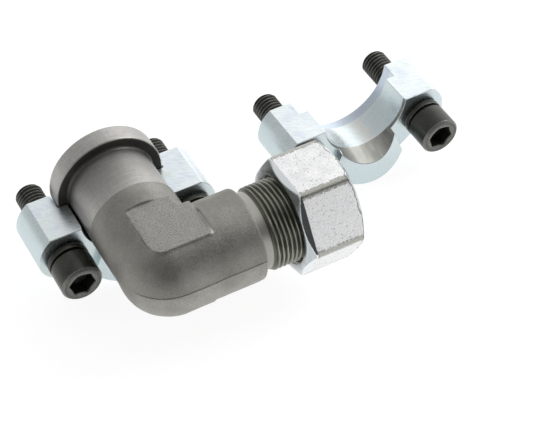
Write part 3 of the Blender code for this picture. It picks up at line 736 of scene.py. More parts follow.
def half_loop(turns, radii):
    """Closed outline of a half, from its bore's radius at each turn, and where the hub's back starts."""
    side_radius = radii[0]
    end = math.atan2(math.sqrt(side_radius ** 2 - HALF_TOP ** 2), HUB_FAN_ABOVE - HALF_TOP)
    side = [fan_point(turn, side_radius) for turn in np.linspace(turns[-1], end, BORE_SIDE_STEPS)[1:]]
    inset = EAR_RADIUS - EAR_TOP_REACH
    drop = BOLT_DROP + HALF_TOP
    flank = (inset * inset + drop * drop) / (2.0 * inset)
    flank_centre = (BOLT_ASIDE + EAR_RADIUS - flank, -BOLT_DROP)
    to_bolt = math.hypot(BOLT_ASIDE, BOLT_DROP)
    along = (to_bolt ** 2 + HALF_RADIUS ** 2 - EAR_RADIUS ** 2) / (2.0 * to_bolt)
    meet = -math.atan2(BOLT_DROP, BOLT_ASIDE) - math.acos(along / HALF_RADIUS)
    meet_point = (HALF_RADIUS * math.cos(meet), HALF_RADIUS * math.sin(meet))
    ear_end = math.atan2(meet_point[1] + BOLT_DROP, meet_point[0] - BOLT_ASIDE)
    flank_arc = arc(flank_centre, flank, math.asin(drop / flank), 0.0, 8)
    ear_arc = arc((BOLT_ASIDE, -BOLT_DROP), EAR_RADIUS, 0.0, ear_end, 22)
    meet_turn = math.atan2(meet_point[0], HUB_FAN_ABOVE - meet_point[1])
    back = [fan_point(turn, HALF_RADIUS) for turn in np.linspace(meet_turn, turns[-1], 12)[1:-1]]
    top = [(BOLT_ASIDE - 2.0, HALF_TOP), (BOLT_ASIDE + 2.0, HALF_TOP)]
    right = []
    stretches = (
        (side[:-1], 0.0),
        (side[-1:], PARTING_EDGE),
        (top, 0.0),
        (flank_arc[:1], PARTING_EDGE),
        (flank_arc[1:] + ear_arc[1:-1], 0.0),
        ([meet_point], MEET_ROUNDING),
        (back, 0.0),
    )
    for stretch, rounding in stretches:
        right += [(x, z, rounding) for x, z in stretch]
    left = [(-x, z, rounding) for x, z, rounding in reversed(right)]
    inner = [(*fan_point(turn, radius), 0.0) for turn, radius in zip(turns, radii)]
    outer = [(*fan_point(turn, HALF_RADIUS), 0.0) for turn in reversed(turns)]
    points = softened([*inner, *right, *outer, *left], True)
    back_start = len(turns) + sum(5 if rounding > 0.0 else 1 for x, z, rounding in right)
    return np.array(points), back_start


def moved_in(points, inset):
    """Loop moved towards the material by a distance, which may vary from point to point."""
    along = np.roll(points, -1, axis=0) - np.roll(points, 1, axis=0)
    along /= np.linalg.norm(along, axis=1)[:, None]
    return points + inset * np.stack([along[:, 1], -along[:, 0]], axis=1)


def half_levels(turns):
    """Loops of a half from its mating face over the walls to the rounded front edge, as 3D points."""
    count = len(turns)
    angles = [0.125 * math.pi * step for step in range(5)]
    quarter = [(1.0 - math.cos(angle), 1.0 - math.sin(angle)) for angle in angles]
    walls = [(RECESS_RADIUS + LEAD_IN_FLARE, -BACK_EDGE * deep, BACK_EDGE * aside) for deep, aside in quarter]
    walls += [
        (RECESS_RADIUS + 0.003, 0.05 - LEAD_IN_DEPTH, 0.0),
        (RECESS_RADIUS, -LEAD_IN_DEPTH, 0.0),
        (RECESS_RADIUS, 0.03 - RECESS_DEPTH, 0.0),
        (HALF_BORE + 0.3, -0.01 - RECESS_DEPTH, 0.0),
        (HALF_BORE + 0.09, -0.1 - RECESS_DEPTH, 0.0),
        (HALF_BORE, -0.3 - RECESS_DEPTH, 0.0),
        (HALF_BORE, MOUTH_START + 0.06, 0.0),
        (HALF_BORE, MOUTH_START, 0.0),
    ]
    levels = []
    for radius, y, inset in walls:
        loop, back_start = half_loop(turns, [radius] * count)
        levels.append(at_depth(moved_in(loop, inset), y))
    heights = [hub_height(turn) for turn in turns]
    front = np.full(len(loop), -HALF_THICKNESS)
    front[:count] -= heights
    front[back_start:back_start + count] -= heights[::-1]
    edge = front + HALF_EDGE
    rows = [(MOUTH_START + (edge - MOUTH_START) * share, 0.0) for share in (0.01, 0.25, 0.5, 0.75)]
    rows += [(front + HALF_EDGE * deep, HALF_EDGE * aside) for aside, deep in quarter]
    for y, inset in rows:
        loop, back_start = half_loop(turns, mouth_radius(y[:count]))
        levels.append(at_depth(moved_in(loop, inset), y))
    return levels, back_start


def at_depth(loop, y):
    """Loop as points in space, at one depth or at a depth for each point."""
    return np.stack([loop[:, 0], y + np.zeros(len(loop)), loop[:, 1]], axis=1)


def half_shell():
    """Closed skin of a clamping half: walls, flat mating face, flat ears and the domed front of the hub."""
    turns = hub_turns()
    columns = len(turns)
    levels, back_start = half_levels(turns)
    count = len(levels[0])
    shell = bmesh.new()
    rows = [[shell.verts.new(point) for point in level] for level in levels]
    for low, high in zip(rows, rows[1:]):
        for k in range(count):
            j = (k + 1) % count
            shell.faces.new((low[k], low[j], high[j], high[k]))
    shell.faces.new(rows[0])
    front = rows[-1]
    strip = []
    for column in range(columns):
        inner = front[column]
        outer = front[back_start + columns - 1 - column]
        steps = [inner.co.lerp(outer.co, step / HUB_ROWS) for step in range(1, HUB_ROWS)]
        strip.append([inner, *[shell.verts.new(point) for point in steps], outer])
    for low, high in zip(strip, strip[1:]):
        for k in range(HUB_ROWS):
            shell.faces.new((low[k], low[k + 1], high[k + 1], high[k]))
    shell.faces.new([*front[columns:back_start], *reversed(strip[-1])])
    shell.faces.new([*front[back_start + columns:], *strip[0]])
    bmesh.ops.recalc_face_normals(shell, faces=shell.faces)
    return shell


def half_mesh():
    """Clamping half in its own frame, with its two chamfered bolt holes."""
    half = helper(half_shell())
    hole = [
        (-HALF_THICKNESS - HOLE_CHAMFER, BOLT_HOLE + 2.0 * HOLE_CHAMFER),
        (-HALF_THICKNESS + HOLE_CHAMFER, BOLT_HOLE),
        (-HOLE_CHAMFER, BOLT_HOLE),
        (HOLE_CHAMFER, BOLT_HOLE + 2.0 * HOLE_CHAMFER),
    ]
    drills = []
    for side in (-1.0, 1.0):
        aside = np.array([side * BOLT_ASIDE, 0.0, -BOLT_DROP])
        rings = [level + aside for level in turned("y", hole, ring_angles(SCREW_AROUND))]
        drills.append(helper(skin(rings, False)))
        cut_away(half, drills[-1])
    bpy.context.view_layer.update()
    mesh = bpy.data.meshes.new_from_object(half.evaluated_get(bpy.context.evaluated_depsgraph_get()))
    for item in (half, *drills):
        bpy.data.objects.remove(item, do_unlink=True)
    mark_half(mesh)
    return mesh


def build_half(label, matrix, mesh, material):
    """Clamping half, placed by a matrix."""
    shell = bmesh.new()
    shell.from_mesh(mesh)
    node = "flange_half_" + label
    half = place("clamp_" + label, shell, "fitting", node, material, sharp=34.0, matrix=matrix)
    weighted = half.modifiers.new("even_shading", "WEIGHTED_NORMAL")
    weighted.keep_sharp = True


def screw_rings():
    """Cap screw about Z: zero is the middle of its hole, Z runs to the tip."""
    angles = ring_angles(SCREW_AROUND)
    key = hexagon(angles - KEY_TURNED_BY, KEY_HALF_FLATS, 0.0)
    bottom = SCREW_TOP + KEY_DEPTH
    rows = [(bottom + KEY_DRILL_DEPTH, POINT_RADIUS), (bottom, KEY_DRILL_RADIUS), (bottom, key)]
    rows += [(SCREW_TOP + depth, key + grow) for depth, grow in ((3.0, 0.0), (0.9, 0.0), (0.6, 0.02))]
    for depth, share in ((0.35, 0.35), (0.15, 0.7), (0.0, 1.0)):
        rows.append((SCREW_TOP + depth, (1.0 - share) * key + share * KEY_RIM))
    outside = [
        (SCREW_TOP, KEY_RIM, 0.0),
        (SCREW_TOP, HEAD_RADIUS - HEAD_CHAMFER, 0.3),
        (SCREW_TOP + HEAD_CHAMFER, HEAD_RADIUS, 0.5),
        (SCREW_UNDER - 0.4, HEAD_RADIUS, 0.3),
        (SCREW_UNDER, HEAD_RADIUS - 0.4, 0.2),
        (SCREW_UNDER, SCREW_RADIUS, 0.4),
        (SCREW_UNDER + SCREW_PLAIN, SCREW_RADIUS, 0.0),
    ]
    rows += softened(outside)[1:]
    start = SCREW_UNDER + SCREW_PLAIN
    tip = SCREW_UNDER + SCREW_LENGTH
    for z, height in thread_rows(start, tip, SCREW_PITCH, SCREW_SLICES, angles, start)[1:]:
        ridge = SCREW_RADIUS - SCREW_THREAD_DEPTH * (1.0 - height) * min(1.0, (z - start) / SCREW_RUN_OUT)
        lead = SCREW_RADIUS - SCREW_CHAMFER + (tip - z)
        rows.append((z, np.minimum(ridge, lead)))
    rows.append((tip, POINT_RADIUS))
    return turned("z", rows, angles)


def washer_shell():
    """Split spring washer: square wire with slightly rounded edges, wound almost once round."""
    low = -0.5 * HALF_THICKNESS - WASHER_SEAT - WASHER_THICKNESS - WASHER_RISE
    high = low + WASHER_THICKNESS
    corners = [(WASHER_INNER, low, 0.2), (WASHER_OUTER, low, 0.3)]
    corners += [(WASHER_OUTER, high, 0.3), (WASHER_INNER, high, 0.2)]
    section = softened(corners, True, 2)
    rings = []
    for step in range(WASHER_STEPS + 1):
        share = step / WASHER_STEPS
        angle = WASHER_SLIT_AT + 0.5 * WASHER_SLIT + (2.0 * math.pi - WASHER_SLIT) * share
        rise = WASHER_RISE * share
        rings.append([(r * math.cos(angle), r * math.sin(angle), z + rise) for r, z in section])
    return skin(rings, False)


def build_fasteners(label, matrix, material):
    """Both screws of a half with their washers, sagging in their holes."""
    for word, side in (("left", -1.0), ("right", 1.0)):
        hole = Matrix.Translation((side * BOLT_ASIDE, -0.5 * HALF_THICKNESS, -BOLT_DROP))
        axis = matrix @ hole @ Matrix.Rotation(SCREW_SAG - 0.5 * math.pi, 4, "X")
        name = label + "_" + word
        shell = skin(screw_rings(), False)
        node = "cap_screw_" + name
        screw = place("screw_" + name, shell, "fitting", node, material, matrix=axis)
        mark_screw(screw.data, axis)
        node = "spring_washer_" + name
        place("washer_" + name, washer_shell(), "fitting", node, material, matrix=axis)


def feed(tree, entry, value):
    """Links an input to a socket of another node, or sets it to a plain value."""
    if isinstance(value, bpy.types.NodeSocket):
        tree.links.new(value, entry)
    else:
        entry.default_value = value


def wire(tree, kind, inputs, **settings):
    """Adds a node, sets its properties and feeds its inputs."""
    node = tree.nodes.new("ShaderNode" + kind)
    for name, value in settings.items():
        setattr(node, name, value)
    for key, value in inputs.items():
        feed(tree, node.inputs[key], value)
    return node


def maths(operation, first, second=0.0):
    """Sum, product or the like. Here and below, the node goes into the tree of the first value."""
    return wire(first.id_data, "Math", {0: first, 1: second}, operation=operation).outputs[0]


def times(first, second):
    return maths("MULTIPLY", first, second)


def distance(value, place_on_line):
    return maths("ABSOLUTE", maths("SUBTRACT", value, place_on_line))


def wander(noise_value, width):
    """Moves the middle of a value between 0 and 1 to zero and makes it as wide as given."""
    return times(maths("SUBTRACT", noise_value, 0.5), width)


def spread(value, low, high, bottom=0.0, top=1.0, **settings):
    """Maps a range of a value to another one, held at both ends."""
    inputs = {"Value": value, "From Min": low, "From Max": high, "To Min": bottom, "To Max": top}
    return wire(value.id_data, "MapRange", inputs, **settings).outputs[0]


def ranged(noise_value, bottom, top):
    """Maps the middle of a noise to a range."""
    return spread(noise_value, NOISE_LOW, NOISE_HIGH, bottom, top)


def blend(factor, first, second):
    """Colour between two colours; each is a socket or three numbers."""
    pair = [value if isinstance(value, bpy.types.NodeSocket) else (*value, 1.0) for value in (first, second)]
    return wire(factor.id_data, "Mix", {0: factor, 6: pair[0], 7: pair[1]}, data_type="RGBA").outputs[2]


def shades(noise_value, pair, low=NOISE_LOW, high=NOISE_HIGH):
    """Colour that wanders between two with a noise."""
    return blend(spread(noise_value, low, high), *pair)


def layered(colour, layers):
    """Lays colours over a colour, each where its cover is 1."""
    for cover, paint in layers:
        colour = blend(cover, colour, paint)
    return colour


def dimmed(colour, factor):
    return wire(colour.id_data, "VectorMath", {0: colour, "Scale": factor}, operation="SCALE").outputs[0]


def noise_at(vector, scale, detail):
    """Noise between 0 and 1; the scale counts features per millimetre."""
    inputs = {"Vector": vector, "Scale": scale, "Detail": detail}
    return wire(vector.id_data, "TexNoise", inputs).outputs[0]


def drawn_noise(vector, scales, detail):
    """Noise with a scale for each axis."""
    scaled = wire(vector.id_data, "VectorMath", {0: vector, 1: scales}, operation="MULTIPLY").outputs[0]
    return noise_at(scaled, 1.0, detail)


def axes(vector):
    return wire(vector.id_data, "SeparateXYZ", {0: vector}).outputs


def normal_of(tree):
    return wire(tree, "NewGeometry", {}).outputs["Normal"]


def alike(first, second):
    """Cosine of the angle between two directions; the first is a socket."""
    inputs = {0: first, 1: second}
    return wire(first.id_data, "VectorMath", inputs, operation="DOT_PRODUCT").outputs["Value"]


def marked(tree, *names):
    """Values that a piece carries at its vertices, one for each name."""
    return [wire(tree, "Attribute", {}, attribute_name=name).outputs["Fac"] for name in names]


def edges_of(tree, radius):
    """1 along sharp edges and 0 on open faces, from the difference to a rounded normal."""
    rounded = wire(tree, "Bevel", {"Radius": radius * MM}, samples=6).outputs[0]
    return spread(alike(rounded, normal_of(tree)), 0.995, 0.9)


def finished(tree, colour, roughness, metallic, height, depth):
    """Feeds the shader, with a bump whose height is worth a depth in millimetres."""
    relief = wire(tree, "Bump", {"Height": height, "Distance": depth * MM}).outputs[0]
    inputs = {"Base Color": colour, "Roughness": roughness, "Metallic": metallic, "Normal": relief}
    for key, value in inputs.items():
        feed(tree, tree.nodes["Principled BSDF"].inputs[key], value)


def made(name, recipe):
    """Material from a recipe, which gets its tree and the place on the piece in millimetres."""
    material = bpy.data.materials.new(name)
    material.use_nodes = True
    tree = material.node_tree
    recipe(tree, dimmed(wire(tree, "TexCoord", {}).outputs["Object"], 1.0 / MM))
    return material


def forged_steel(tree, at):
    """Phosphated forging: brownish grey skin with grain, lighter machined ends, dark thread, parting line
    with painted shade along its step and painted light below it, painted highlights on two edges and painted
    shade in the corners.
    """
    parting, pad, machined, relief = marked(tree, "parting", "pad", "machined", "relief")
    thread, crest, bright, dirt = marked(tree, "thread", "crest", "bright", "dirt")
    patches = noise_at(at, 0.09, 3.0)
    grain = noise_at(at, 1.6, 5.0)
    fine = noise_at(at, 4.5, 2.0)
    specks = noise_at(at, 2.6, 3.0)
    turned_lines = drawn_noise(at, (0.12, 5.0, 0.12), 3.0)
    scratches = drawn_noise(at, (1.4, 0.3, 1.4), 4.0)
    from_parting = maths("SUBTRACT", axes(at)[2], AXIS_Z + PARTING_HEIGHT)
    # Painted light: below the parting line the skin is made up to 1.3 times lighter, in place of light thrown
    # up from the floor.
    paler = times(spread(from_parting, 0.1, -0.3), parting)
    # Painted shade along the parting step, broken up by the grain.
    from_crease = maths("ABSOLUTE", maths("ADD", from_parting, wander(patches, 1.2)))
    crease = times(spread(from_crease, 0.10, 0.40, 0.75, 0.0), spread(grain, 0.3, 0.55, 0.3, 1.0))
    forged = dimmed(shades(patches, FORGED_SHADES), spread(grain, 0.25, 0.75, 0.78, 1.2))
    # Painted light below the parting line.
    forged = dimmed(forged, spread(paler, 0.0, 1.0, 1.0, 1.3))
    colour = layered(forged, [
        # Painted shade along the parting step.
        (times(crease, parting), CREASE_COLOUR),
        (pad, shades(specks, PAD_SHADES, 0.34, 0.68)),
        (machined, dimmed(shades(turned_lines, MACHINED_SHADES), ranged(scratches, 0.92, 1.08))),
        (relief, RELIEF_STEEL),
        (thread, blend(crest, *THREAD_SHADES)),
        # Painted highlights on the pad's end and at the neck's step.
        (bright, BRIGHT_STEEL),
        # Painted shade in the corners, along the pad's edge and in the shoulder step.
        (dirt, ELBOW_DIRT),
        (times(edges_of(tree, 0.5), spread(grain, 0.3, 0.6, 0.1, 0.4)), WORN_STEEL),
    ])
    roughness = blend(machined, ranged(grain, 0.46, 0.55), (0.39, 0.39, 0.39))
    bumps = maths("ADD", grain, times(fine, 0.35))
    finished(tree, colour, roughness, 0.8, times(bumps, spread(machined, 0.0, 1.0, 1.0, 0.25)), 0.10)


def nut_zinc(tree, at):
    """White zinc of the nut: dark pin-pricks on the flats, greyer rounded edges, bright turned chamfers."""
    aside, under, facet, grime, inside = marked(tree, "aside", "under", "facet", "grime", "inside")
    clouds = noise_at(at, 0.2, 3.0)
    pricks = noise_at(at, 1.5, 2.0)
    specks = noise_at(at, 3.4, 2.0)
    waves = noise_at(at, 0.28, 1.0)
    ragged = noise_at(at, 1.1, 4.0)
    turned_lines = drawn_noise(at, (5.0, 0.3, 0.3), 3.0)
    half_width = NUT_HALF_FLATS * math.tan(HALF_SIDE_TURN)
    aside = maths("ADD", times(aside, NUT_MARK_SPAN), wander(ragged, 1.4))
    line = spread(distance(aside, half_width - 1.9), 0.32, 0.06, 0.0, 0.85)
    under = wander(under, NUT_MARK_SPAN)
    rim = distance(maths("ADD", under, wander(waves, 4.4)), -0.9)
    on_chamfer = spread(under, -0.03, 0.15)
    colour = layered(shades(clouds, NUT_SHADES), [
        (spread(pricks, 0.40, 0.31), NUT_PRICK),
        (spread(specks, 0.39, 0.31), NUT_SPECK),
        (spread(aside, half_width - 2.0, half_width - 1.6), shades(specks, NUT_EDGE_SHADES)),
        (times(line, spread(ragged, 0.42, 0.56)), NUT_LINE),
        (spread(rim, 0.55, 0.15, 0.0, 0.88), NUT_OUTLINE),
        (on_chamfer, shades(turned_lines, CHAMFER_SHADES)),
        (facet, NUT_FACET_COLOUR),
        # Painted shade at the upper end next to the thread.
        (grime, NUT_GRIME),
        (inside, NUT_INSIDE),
    ])
    roughness = blend(facet, ranged(clouds, 0.24, 0.34), (0.11, 0.11, 0.11))
    metallic = spread(maths("MAXIMUM", on_chamfer, facet), 0.0, 1.0, 0.72, 1.0)
    finished(tree, colour, roughness, metallic, maths("ADD", pricks, times(specks, 0.5)), 0.03)


def half_zinc(tree, at):
    """Bluish zinc of the clamping halves: milled lines, faint iridescent patches, browner conical mouth, with
    painted shade low down, on faces turned to the left and to the front and at the mouth's ends, and painted
    reflections in the bore and on the lead-in.
    """
    browned, lead_in, mouth, mouth_end = marked(tree, "browned", "lead_in", "mouth", "mouth_end")
    clouds = noise_at(at, 0.11, 3.0)
    tints = noise_at(at, 0.16, 2.0)
    fine = noise_at(at, 3.2, 3.0)
    slanted = wire(tree, "VectorRotate", {0: at, "Angle": 0.6}, rotation_type="Z_AXIS").outputs[0]
    lines = drawn_noise(slanted, (0.22, 3.2, 3.2), 4.0)
    streaks = drawn_noise(at, (0.5, 0.04, 0.5), 2.0)
    facing = axes(normal_of(tree))
    # Painted shade, darker towards the bottom of the halves.
    low_down = times(spread(axes(at)[2], 27.0, 8.0, 0.0, 0.5), spread(clouds, 0.25, 0.6, 0.5, 1.0))
    colour = layered(shades(clouds, HALF_SHADES, 0.32, 0.68), [
        (spread(tints, 0.52, 0.72, 0.0, 0.5), BLUE_TINT),
        (spread(tints, 0.46, 0.30, 0.0, 0.5), GREEN_TINT),
    ])
    colour = layered(dimmed(colour, ranged(lines, 0.84, 1.08)), [
        (spread(fine, 0.31, 0.22), HALF_SPECK),
        # Painted shade low down and on faces turned to the left and to the front.
        (low_down, ZINC_BELOW),
        (spread(facing[0], -0.25, -0.9, 0.0, 0.6), ZINC_LEFT),
        (spread(facing[1], -0.5, -0.95, 0.0, 0.45), ZINC_FRONT),
        # Painted brown reflection in the bore.
        (times(browned, 0.45), ZINC_BROWNED),
        # Painted reflection on the lead-in of the recess.
        (times(lead_in, 0.7), ZINC_LEAD_IN),
        # The mouth dims towards its ends as painted shade.
        (mouth, dimmed(shades(streaks, MOUTH_SHADES), spread(mouth_end, 0.0, 1.0, 1.05, 0.6))),
        (times(edges_of(tree, 0.6), spread(fine, 0.35, 0.6, 0.25, 0.8)), ZINC_WORN),
    ])
    roughness = blend(mouth, ranged(lines, 0.25, 0.37), (0.46, 0.46, 0.46))
    finished(tree, colour, roughness, 0.92, maths("ADD", lines, times(fine, 0.5)), 0.006)


def black_oxide(tree, at):
    """Oiled black oxide: brownish black, with lighter rubbed edges and thread crests, and rims of the head
    lighter for wear and as a painted highlight.
    """
    crest, worn = marked(tree, "crest", "worn")
    fine = noise_at(at, 3.5, 3.0)
    broken = spread(fine, 0.3, 0.6, 0.3, 0.9)
    colour = layered(shades(noise_at(at, 0.25, 3.0), BLACK_SHADES), [
        (times(crest, broken), BLACK_CREST),
        # Rubbed edges, and the head's rims with wear and a painted highlight.
        (times(maths("MAXIMUM", edges_of(tree, 0.35), worn), broken), BLACK_WORN),
    ])
    finished(tree, colour, ranged(fine, 0.23, 0.34), 0.3, fine, 0.02)


def ring_steel(tree, at):
    """Hardened cutting ring: brownish, finely turned."""
    lines = drawn_noise(at, (6.0, 0.2, 0.2), 3.0)
    colour = dimmed(shades(noise_at(at, 0.3, 3.0), RING_SHADES), ranged(lines, 0.8, 1.1))
    colour = blend(times(edges_of(tree, 0.3), 0.5), colour, RING_WORN)
    finished(tree, colour, ranged(lines, 0.24, 0.38), 1.0, lines, 0.02)


def seal_rubber(tree, at):
    """Matt black rubber with a faint bloom."""
    fine = noise_at(at, 4.0, 3.0)
    colour = shades(noise_at(at, 0.4, 3.0), RUBBER_SHADES, 0.4, 0.7)
    finished(tree, colour, ranged(fine, 0.5, 0.7), 0.0, fine, 0.02)


def mark(mesh, **marks):
    """Stores a value for each name at each vertex, for the material to read."""
    for name, values in marks.items():
        layer = mesh.attributes.new(name, "FLOAT", "POINT")
        layer.data.foreach_set("value", np.clip(values, 0.0, 1.0).astype(np.float32))


def vertex_places(mesh, placed=True):
    """Vertices in millimetres from the base of the fitting; an unplaced mesh is in millimetres already."""
    places = np.empty(3 * len(mesh.vertices), dtype=np.float32)
    mesh.vertices.foreach_get("co", places)
    places = places.reshape(-1, 3)
    return places / MM - np.array(BASE) if placed else places


def mark_elbow(mesh):
    """Machined ends and bores, thread, pads, parting line, painted highlights on two edges, and painted shade
    in the corners, along the pad's edge and in the shoulder step.
    """
    x, y, z = vertex_places(mesh).T
    about_inlet = np.hypot(x, z)
    about_outlet = np.hypot(y - CROSSING, z)
    back = COLLAR_FACE - COLLAR_THICKNESS
    outside = about_inlet > NECK_RADIUS - 0.5
    head = smooth_step(y, NECK_END - 0.25, NECK_END)
    end = smooth_step(x, SHOULDER_REACH - 0.3, SHOULDER_REACH + 0.1)
    bored = (about_inlet < BORE_RADIUS + 1.0) & (y > CROSSING - BORE_RADIUS - 1.0)
    bored |= (about_outlet < BORE_RADIUS + 3.0) & (x > -BORE_RADIUS - 1.0)
    mark(mesh, machined=np.maximum(np.maximum(head, end), bored))
    in_relief = (x > SHOULDER_REACH - 0.05) & (x < THREAD_START + 0.1)
    mark(mesh, relief=in_relief & (about_outlet > RELIEF_RADIUS - 1.0))
    threaded = smooth_step(x, THREAD_START - 0.3, THREAD_START + 0.2)
    mark(mesh, thread=threaded * (about_outlet > THREAD_RADIUS - 2.0))
    mark(mesh, crest=smooth_step(about_outlet, THREAD_RADIUS - 0.45, THREAD_RADIUS - 0.1))
    plan = pad_plan(x, y - CROSSING)
    on_top = smooth_step(np.abs(z), PAD_HEIGHT - 0.7, PAD_HEIGHT - 0.15)
    mark(mesh, pad=smooth_step(-plan, -0.1, 0.5) * on_top)
    mark(mesh, parting=smooth_step(x - y + CROSSING, -12.0, -5.0) * (y < CROSSING + 2.0))
    # Painted shade where the neck meets the collar and on the back of the collar.
    neck_dirt = bell(back - y, 2.2) * (y < back + 0.4) * (about_inlet < NECK_RADIUS + 1.5)
    back_dirt = 0.85 * near(y, back, 0.05, 0.25) * (about_inlet < COLLAR_RADIUS - 0.5)
    front_side = smooth_step(-np.minimum(x, y - CROSSING), 4.0, 6.5)
    before_end = x < PAD_REACH_OUTLET - 1.0
    # Painted shade along the pad's edge, heavier on its front side.
    pad_line = bell(plan - 0.35, 0.42) * on_top * (0.18 + 0.67 * front_side) * before_end
    # Painted highlights along the pad's end wall and along the step at the end of the machined neck.
    pad_end = bell(plan - 0.25, 0.3) * on_top * ~before_end * (y < CROSSING + 4.0)
    neck_line = near(y, NECK_END - 0.3, 0.1, 0.28) * outside
    mark(mesh, bright=np.maximum(0.7 * pad_end, 0.45 * neck_line))
    # Painted shade in the shoulder step; all painted shade goes into one mark.
    in_step = smooth_step(x, SHOULDER_REACH - 0.1, SHOULDER_REACH + 0.1) * (x < SHOULDER_REACH + 0.6)
    at_neck = np.maximum(0.9 * neck_dirt * outside, back_dirt)
    mark(mesh, dirt=np.maximum(at_neck, np.maximum(pad_line, 0.35 * in_step)))


def mark_nut(mesh):
    """Places across the flats and under the chamfers' cones, over a common span; inside, painted shade at the
    upper end by the thread, and facet.
    """
    x, y, z = vertex_places(mesh).T
    y = y - CROSSING
    radius = np.hypot(y, z)
    turn = np.arctan2(z, y) - NUT_TURNED_BY
    from_edge = np.abs((turn + HALF_SIDE_TURN) % SIDE_TURN - HALF_SIDE_TURN)
    from_end = np.minimum(x - NUT_START, NUT_END - x)
    cone = NUT_HALF_FLATS - NUT_FACE_INSET + from_end * NUT_SLOPE
    shrunk = np.maximum(NUT_FACET + NUT_START - x, 0.0) * NUT_FACET_SLOPE
    under_cone = hexagon(turn, NUT_HALF_FLATS - shrunk, NUT_EDGE_RADIUS) - cone
    mark(mesh, aside=radius * np.sin(HALF_SIDE_TURN - from_edge) / NUT_MARK_SPAN)
    mark(mesh, under=0.5 + under_cone / NUT_MARK_SPAN)
    mark(mesh, inside=smooth_step(-radius, -(NUT_BORE + 2.0), -(NUT_BORE + 1.2)))
    # Painted shade on the upper end face and chamfers next to the thread, where the elbow shades the nut.
    near_thread = smooth_step(NUT_START + 2.2 - x, 0.0, 0.4)
    degrees = np.degrees(turn) % 360.0
    facing = np.maximum(smooth_step(under_cone, -0.02, 0.15), smooth_step(NUT_START - x, -0.12, -0.04))
    upper = near(degrees, 85.0, 38.0, 52.0)
    mark(mesh, grime=0.85 * near_thread * upper * facing)
    on_facet = smooth_step(NUT_START + NUT_FACET - x, -0.05, 0.12) * smooth_step(-under_cone, -0.1, 0.2)
    mark(mesh, facet=on_facet * (radius > NUT_HALF_FLATS - 1.6))


def mark_half(mesh):
    """Conical mouth of the bore and its ends, where shade is painted, start of the recess (its lead-in),
    where a reflection is painted, and a stretch of the bore that carries a painted brown reflection.
    """
    x, y, z = vertex_places(mesh, placed=False).T
    radius = np.hypot(x, z)
    mark(mesh, mouth=(y < MOUTH_START - 0.02) * (radius < mouth_radius(y) + 0.12))
    # Ends of the mouth, where shade is painted.
    mark(mesh, mouth_end=smooth_step(np.abs(x), 4.0, 11.0))
    # Lead-in of the recess, where a reflection is painted.
    mark(mesh, lead_in=(y > 0.03 - LEAD_IN_DEPTH) * (radius < RECESS_RADIUS + LEAD_IN_FLARE + 0.2))
    # Painted brown reflection on a stretch of the small bore.
    in_bore = (y > MOUTH_START - 0.02) * (y < -RECESS_DEPTH) * (radius < HALF_BORE + 0.2)
    mark(mesh, browned=bell(x - BROWNED_PLACE, BROWNED_SPREAD) * in_bore)


def mark_screw(mesh, axis):
    """Crests of the thread, and rims of the head that are lighter for wear and as a painted highlight; the
    axis matrix leads back to the screw's own frame.
    """
    own = np.array(axis.inverted())
    x, y, z = (vertex_places(mesh) @ own[:3, :3].T + own[:3, 3]).T
    radius = np.hypot(x, y)
    crests = smooth_step(radius, SCREW_RADIUS - 0.4, SCREW_RADIUS - 0.1)
    mark(mesh, crest=crests * (z > SCREW_UNDER + SCREW_PLAIN))
    # Rims of the head and of the key: lighter for wear and as a painted highlight.
    rim = smooth_step(radius, HEAD_RADIUS - 1.15, HEAD_RADIUS - 0.75) * (z < SCREW_TOP + 1.1)
    key_rim = (radius < KEY_RIM + 0.05) * (z < SCREW_TOP + 0.4)
    mark(mesh, worn=np.maximum(rim, 0.8 * key_rim))


def build_camera():
    """Camera at the photo's place; the target is measured from the base of the fitting."""
    level = math.cos(CAMERA_ELEVATION)
    heading = (math.sin(CAMERA_AZIMUTH) * level, -math.cos(CAMERA_AZIMUTH) * level)
    back = Vector((*heading, math.sin(CAMERA_ELEVATION)))
    right = Vector((math.cos(CAMERA_AZIMUTH), math.sin(CAMERA_AZIMUTH), 0.0))
    up = back.cross(right)
    rolled_right = math.cos(CAMERA_ROLL) * right + math.sin(CAMERA_ROLL) * up
    rolled_up = back.cross(rolled_right)
    data = bpy.data.cameras.new("camera")
    data.sensor_width = SENSOR_WIDTH
    data.lens = FOCAL_PIXELS * data.sensor_width / PICTURE_WIDTH
    data.shift_x = (0.5 * PICTURE_WIDTH - MIDDLE_PIXEL[0]) / PICTURE_WIDTH
    data.shift_y = (MIDDLE_PIXEL[1] - 0.5 * PICTURE_HEIGHT) / PICTURE_WIDTH
    data.clip_start, data.clip_end = CAMERA_CLIP
    camera = new_object("camera", data)
    place_of_camera = (Vector(CAMERA_TARGET) + Vector(BASE) + CAMERA_DISTANCE * back) * MM
    turn = Matrix((rolled_right, rolled_up, back)).transposed().to_4x4()
    camera.matrix_world = Matrix.Translation(place_of_camera) @ turn
    bpy.context.scene.camera = camera


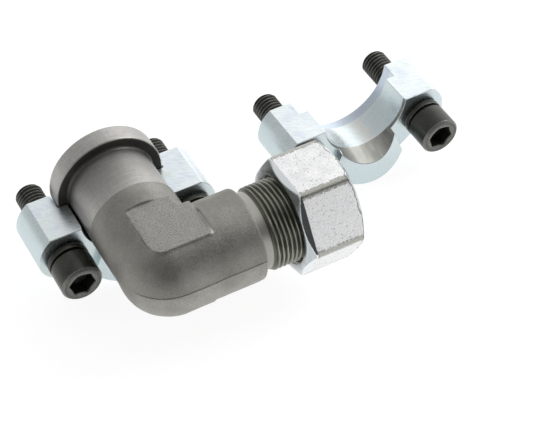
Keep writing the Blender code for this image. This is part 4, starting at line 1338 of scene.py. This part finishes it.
def build_world():
    """Soft surroundings: pale, darker in front and at the left back, brighter at the right and in front."""
    world = bpy.data.worlds.new("studio")
    bpy.context.scene.world = world
    world.use_nodes = True
    tree = world.node_tree
    direction = wire(tree, "TexCoord", {}).outputs["Generated"]
    level = WORLD_LEVEL
    for centre, fade, strength in WORLD_LOBES:
        nearness = alike(direction, tuple(Vector(centre).normalized()))
        lobe = spread(nearness, *fade, 0.0, strength, interpolation_type="SMOOTHSTEP")
        level = maths("ADD", lobe, level)
    background = tree.nodes["Background"]
    feed(tree, background.inputs["Strength"], maths("MAXIMUM", level, WORLD_LEAST))
    background.inputs["Color"].default_value = WHITE


def build_floor():
    """Pale floor that is nearly white by itself, so that the shadow stays faint."""
    mesh = bpy.data.meshes.new("floor")
    reach = FLOOR_REACH
    corners = [(-reach, -reach, 0.0), (reach, -reach, 0.0), (reach, reach, 0.0), (-reach, reach, 0.0)]
    mesh.from_pydata(corners, [], [(0, 1, 2, 3)])
    floor = new_object("floor", mesh)
    material = bpy.data.materials.new("floor")
    material.use_nodes = True
    plain = {
        "Base Color": (FLOOR_COLOUR, FLOOR_COLOUR, FLOOR_COLOUR, 1.0),
        "Roughness": 1.0,
        "Specular IOR Level": 0.0,
        "Emission Color": WHITE,
        "Emission Strength": FLOOR_GLOW,
    }
    for key, value in plain.items():
        material.node_tree.nodes["Principled BSDF"].inputs[key].default_value = value
    mesh.materials.append(material)


def build_lamp():
    """Large soft lamp above and at the right."""
    data = bpy.data.lights.new("key", "AREA")
    data.shape = "RECTANGLE"
    data.size, data.size_y = LAMP_SIZE
    data.energy = LAMP_POWER
    lamp = new_object("key", data)
    turn = (-Vector(LAMP_PLACE)).to_track_quat("-Z", "Y").to_matrix().to_4x4()
    lamp.matrix_world = Matrix.Translation(LAMP_PLACE) @ turn


def build_all():
    """All pieces of the fitting."""
    build_elbow(made("phosphated_steel", forged_steel))
    build_nut(made("zinc_nut", nut_zinc))
    build_ring(made("ring_steel", ring_steel))
    build_seal(made("seal_rubber", seal_rubber))
    mesh = half_mesh()
    zinc = made("zinc_half", half_zinc)
    black = made("black_oxide", black_oxide)
    loose = Matrix.Translation(LOOSE_SHIFT) @ Matrix.Rotation(LOOSE_TURN, 4, "Z")
    for label, matrix in (("seated", Matrix.Identity(4)), ("loose", loose)):
        build_half(label, matrix, mesh, zinc)
        build_fasteners(label, matrix, black)


bpy.context.scene.view_settings.view_transform = "Standard"
build_all()
build_world()
build_floor()
build_lamp()
build_camera()
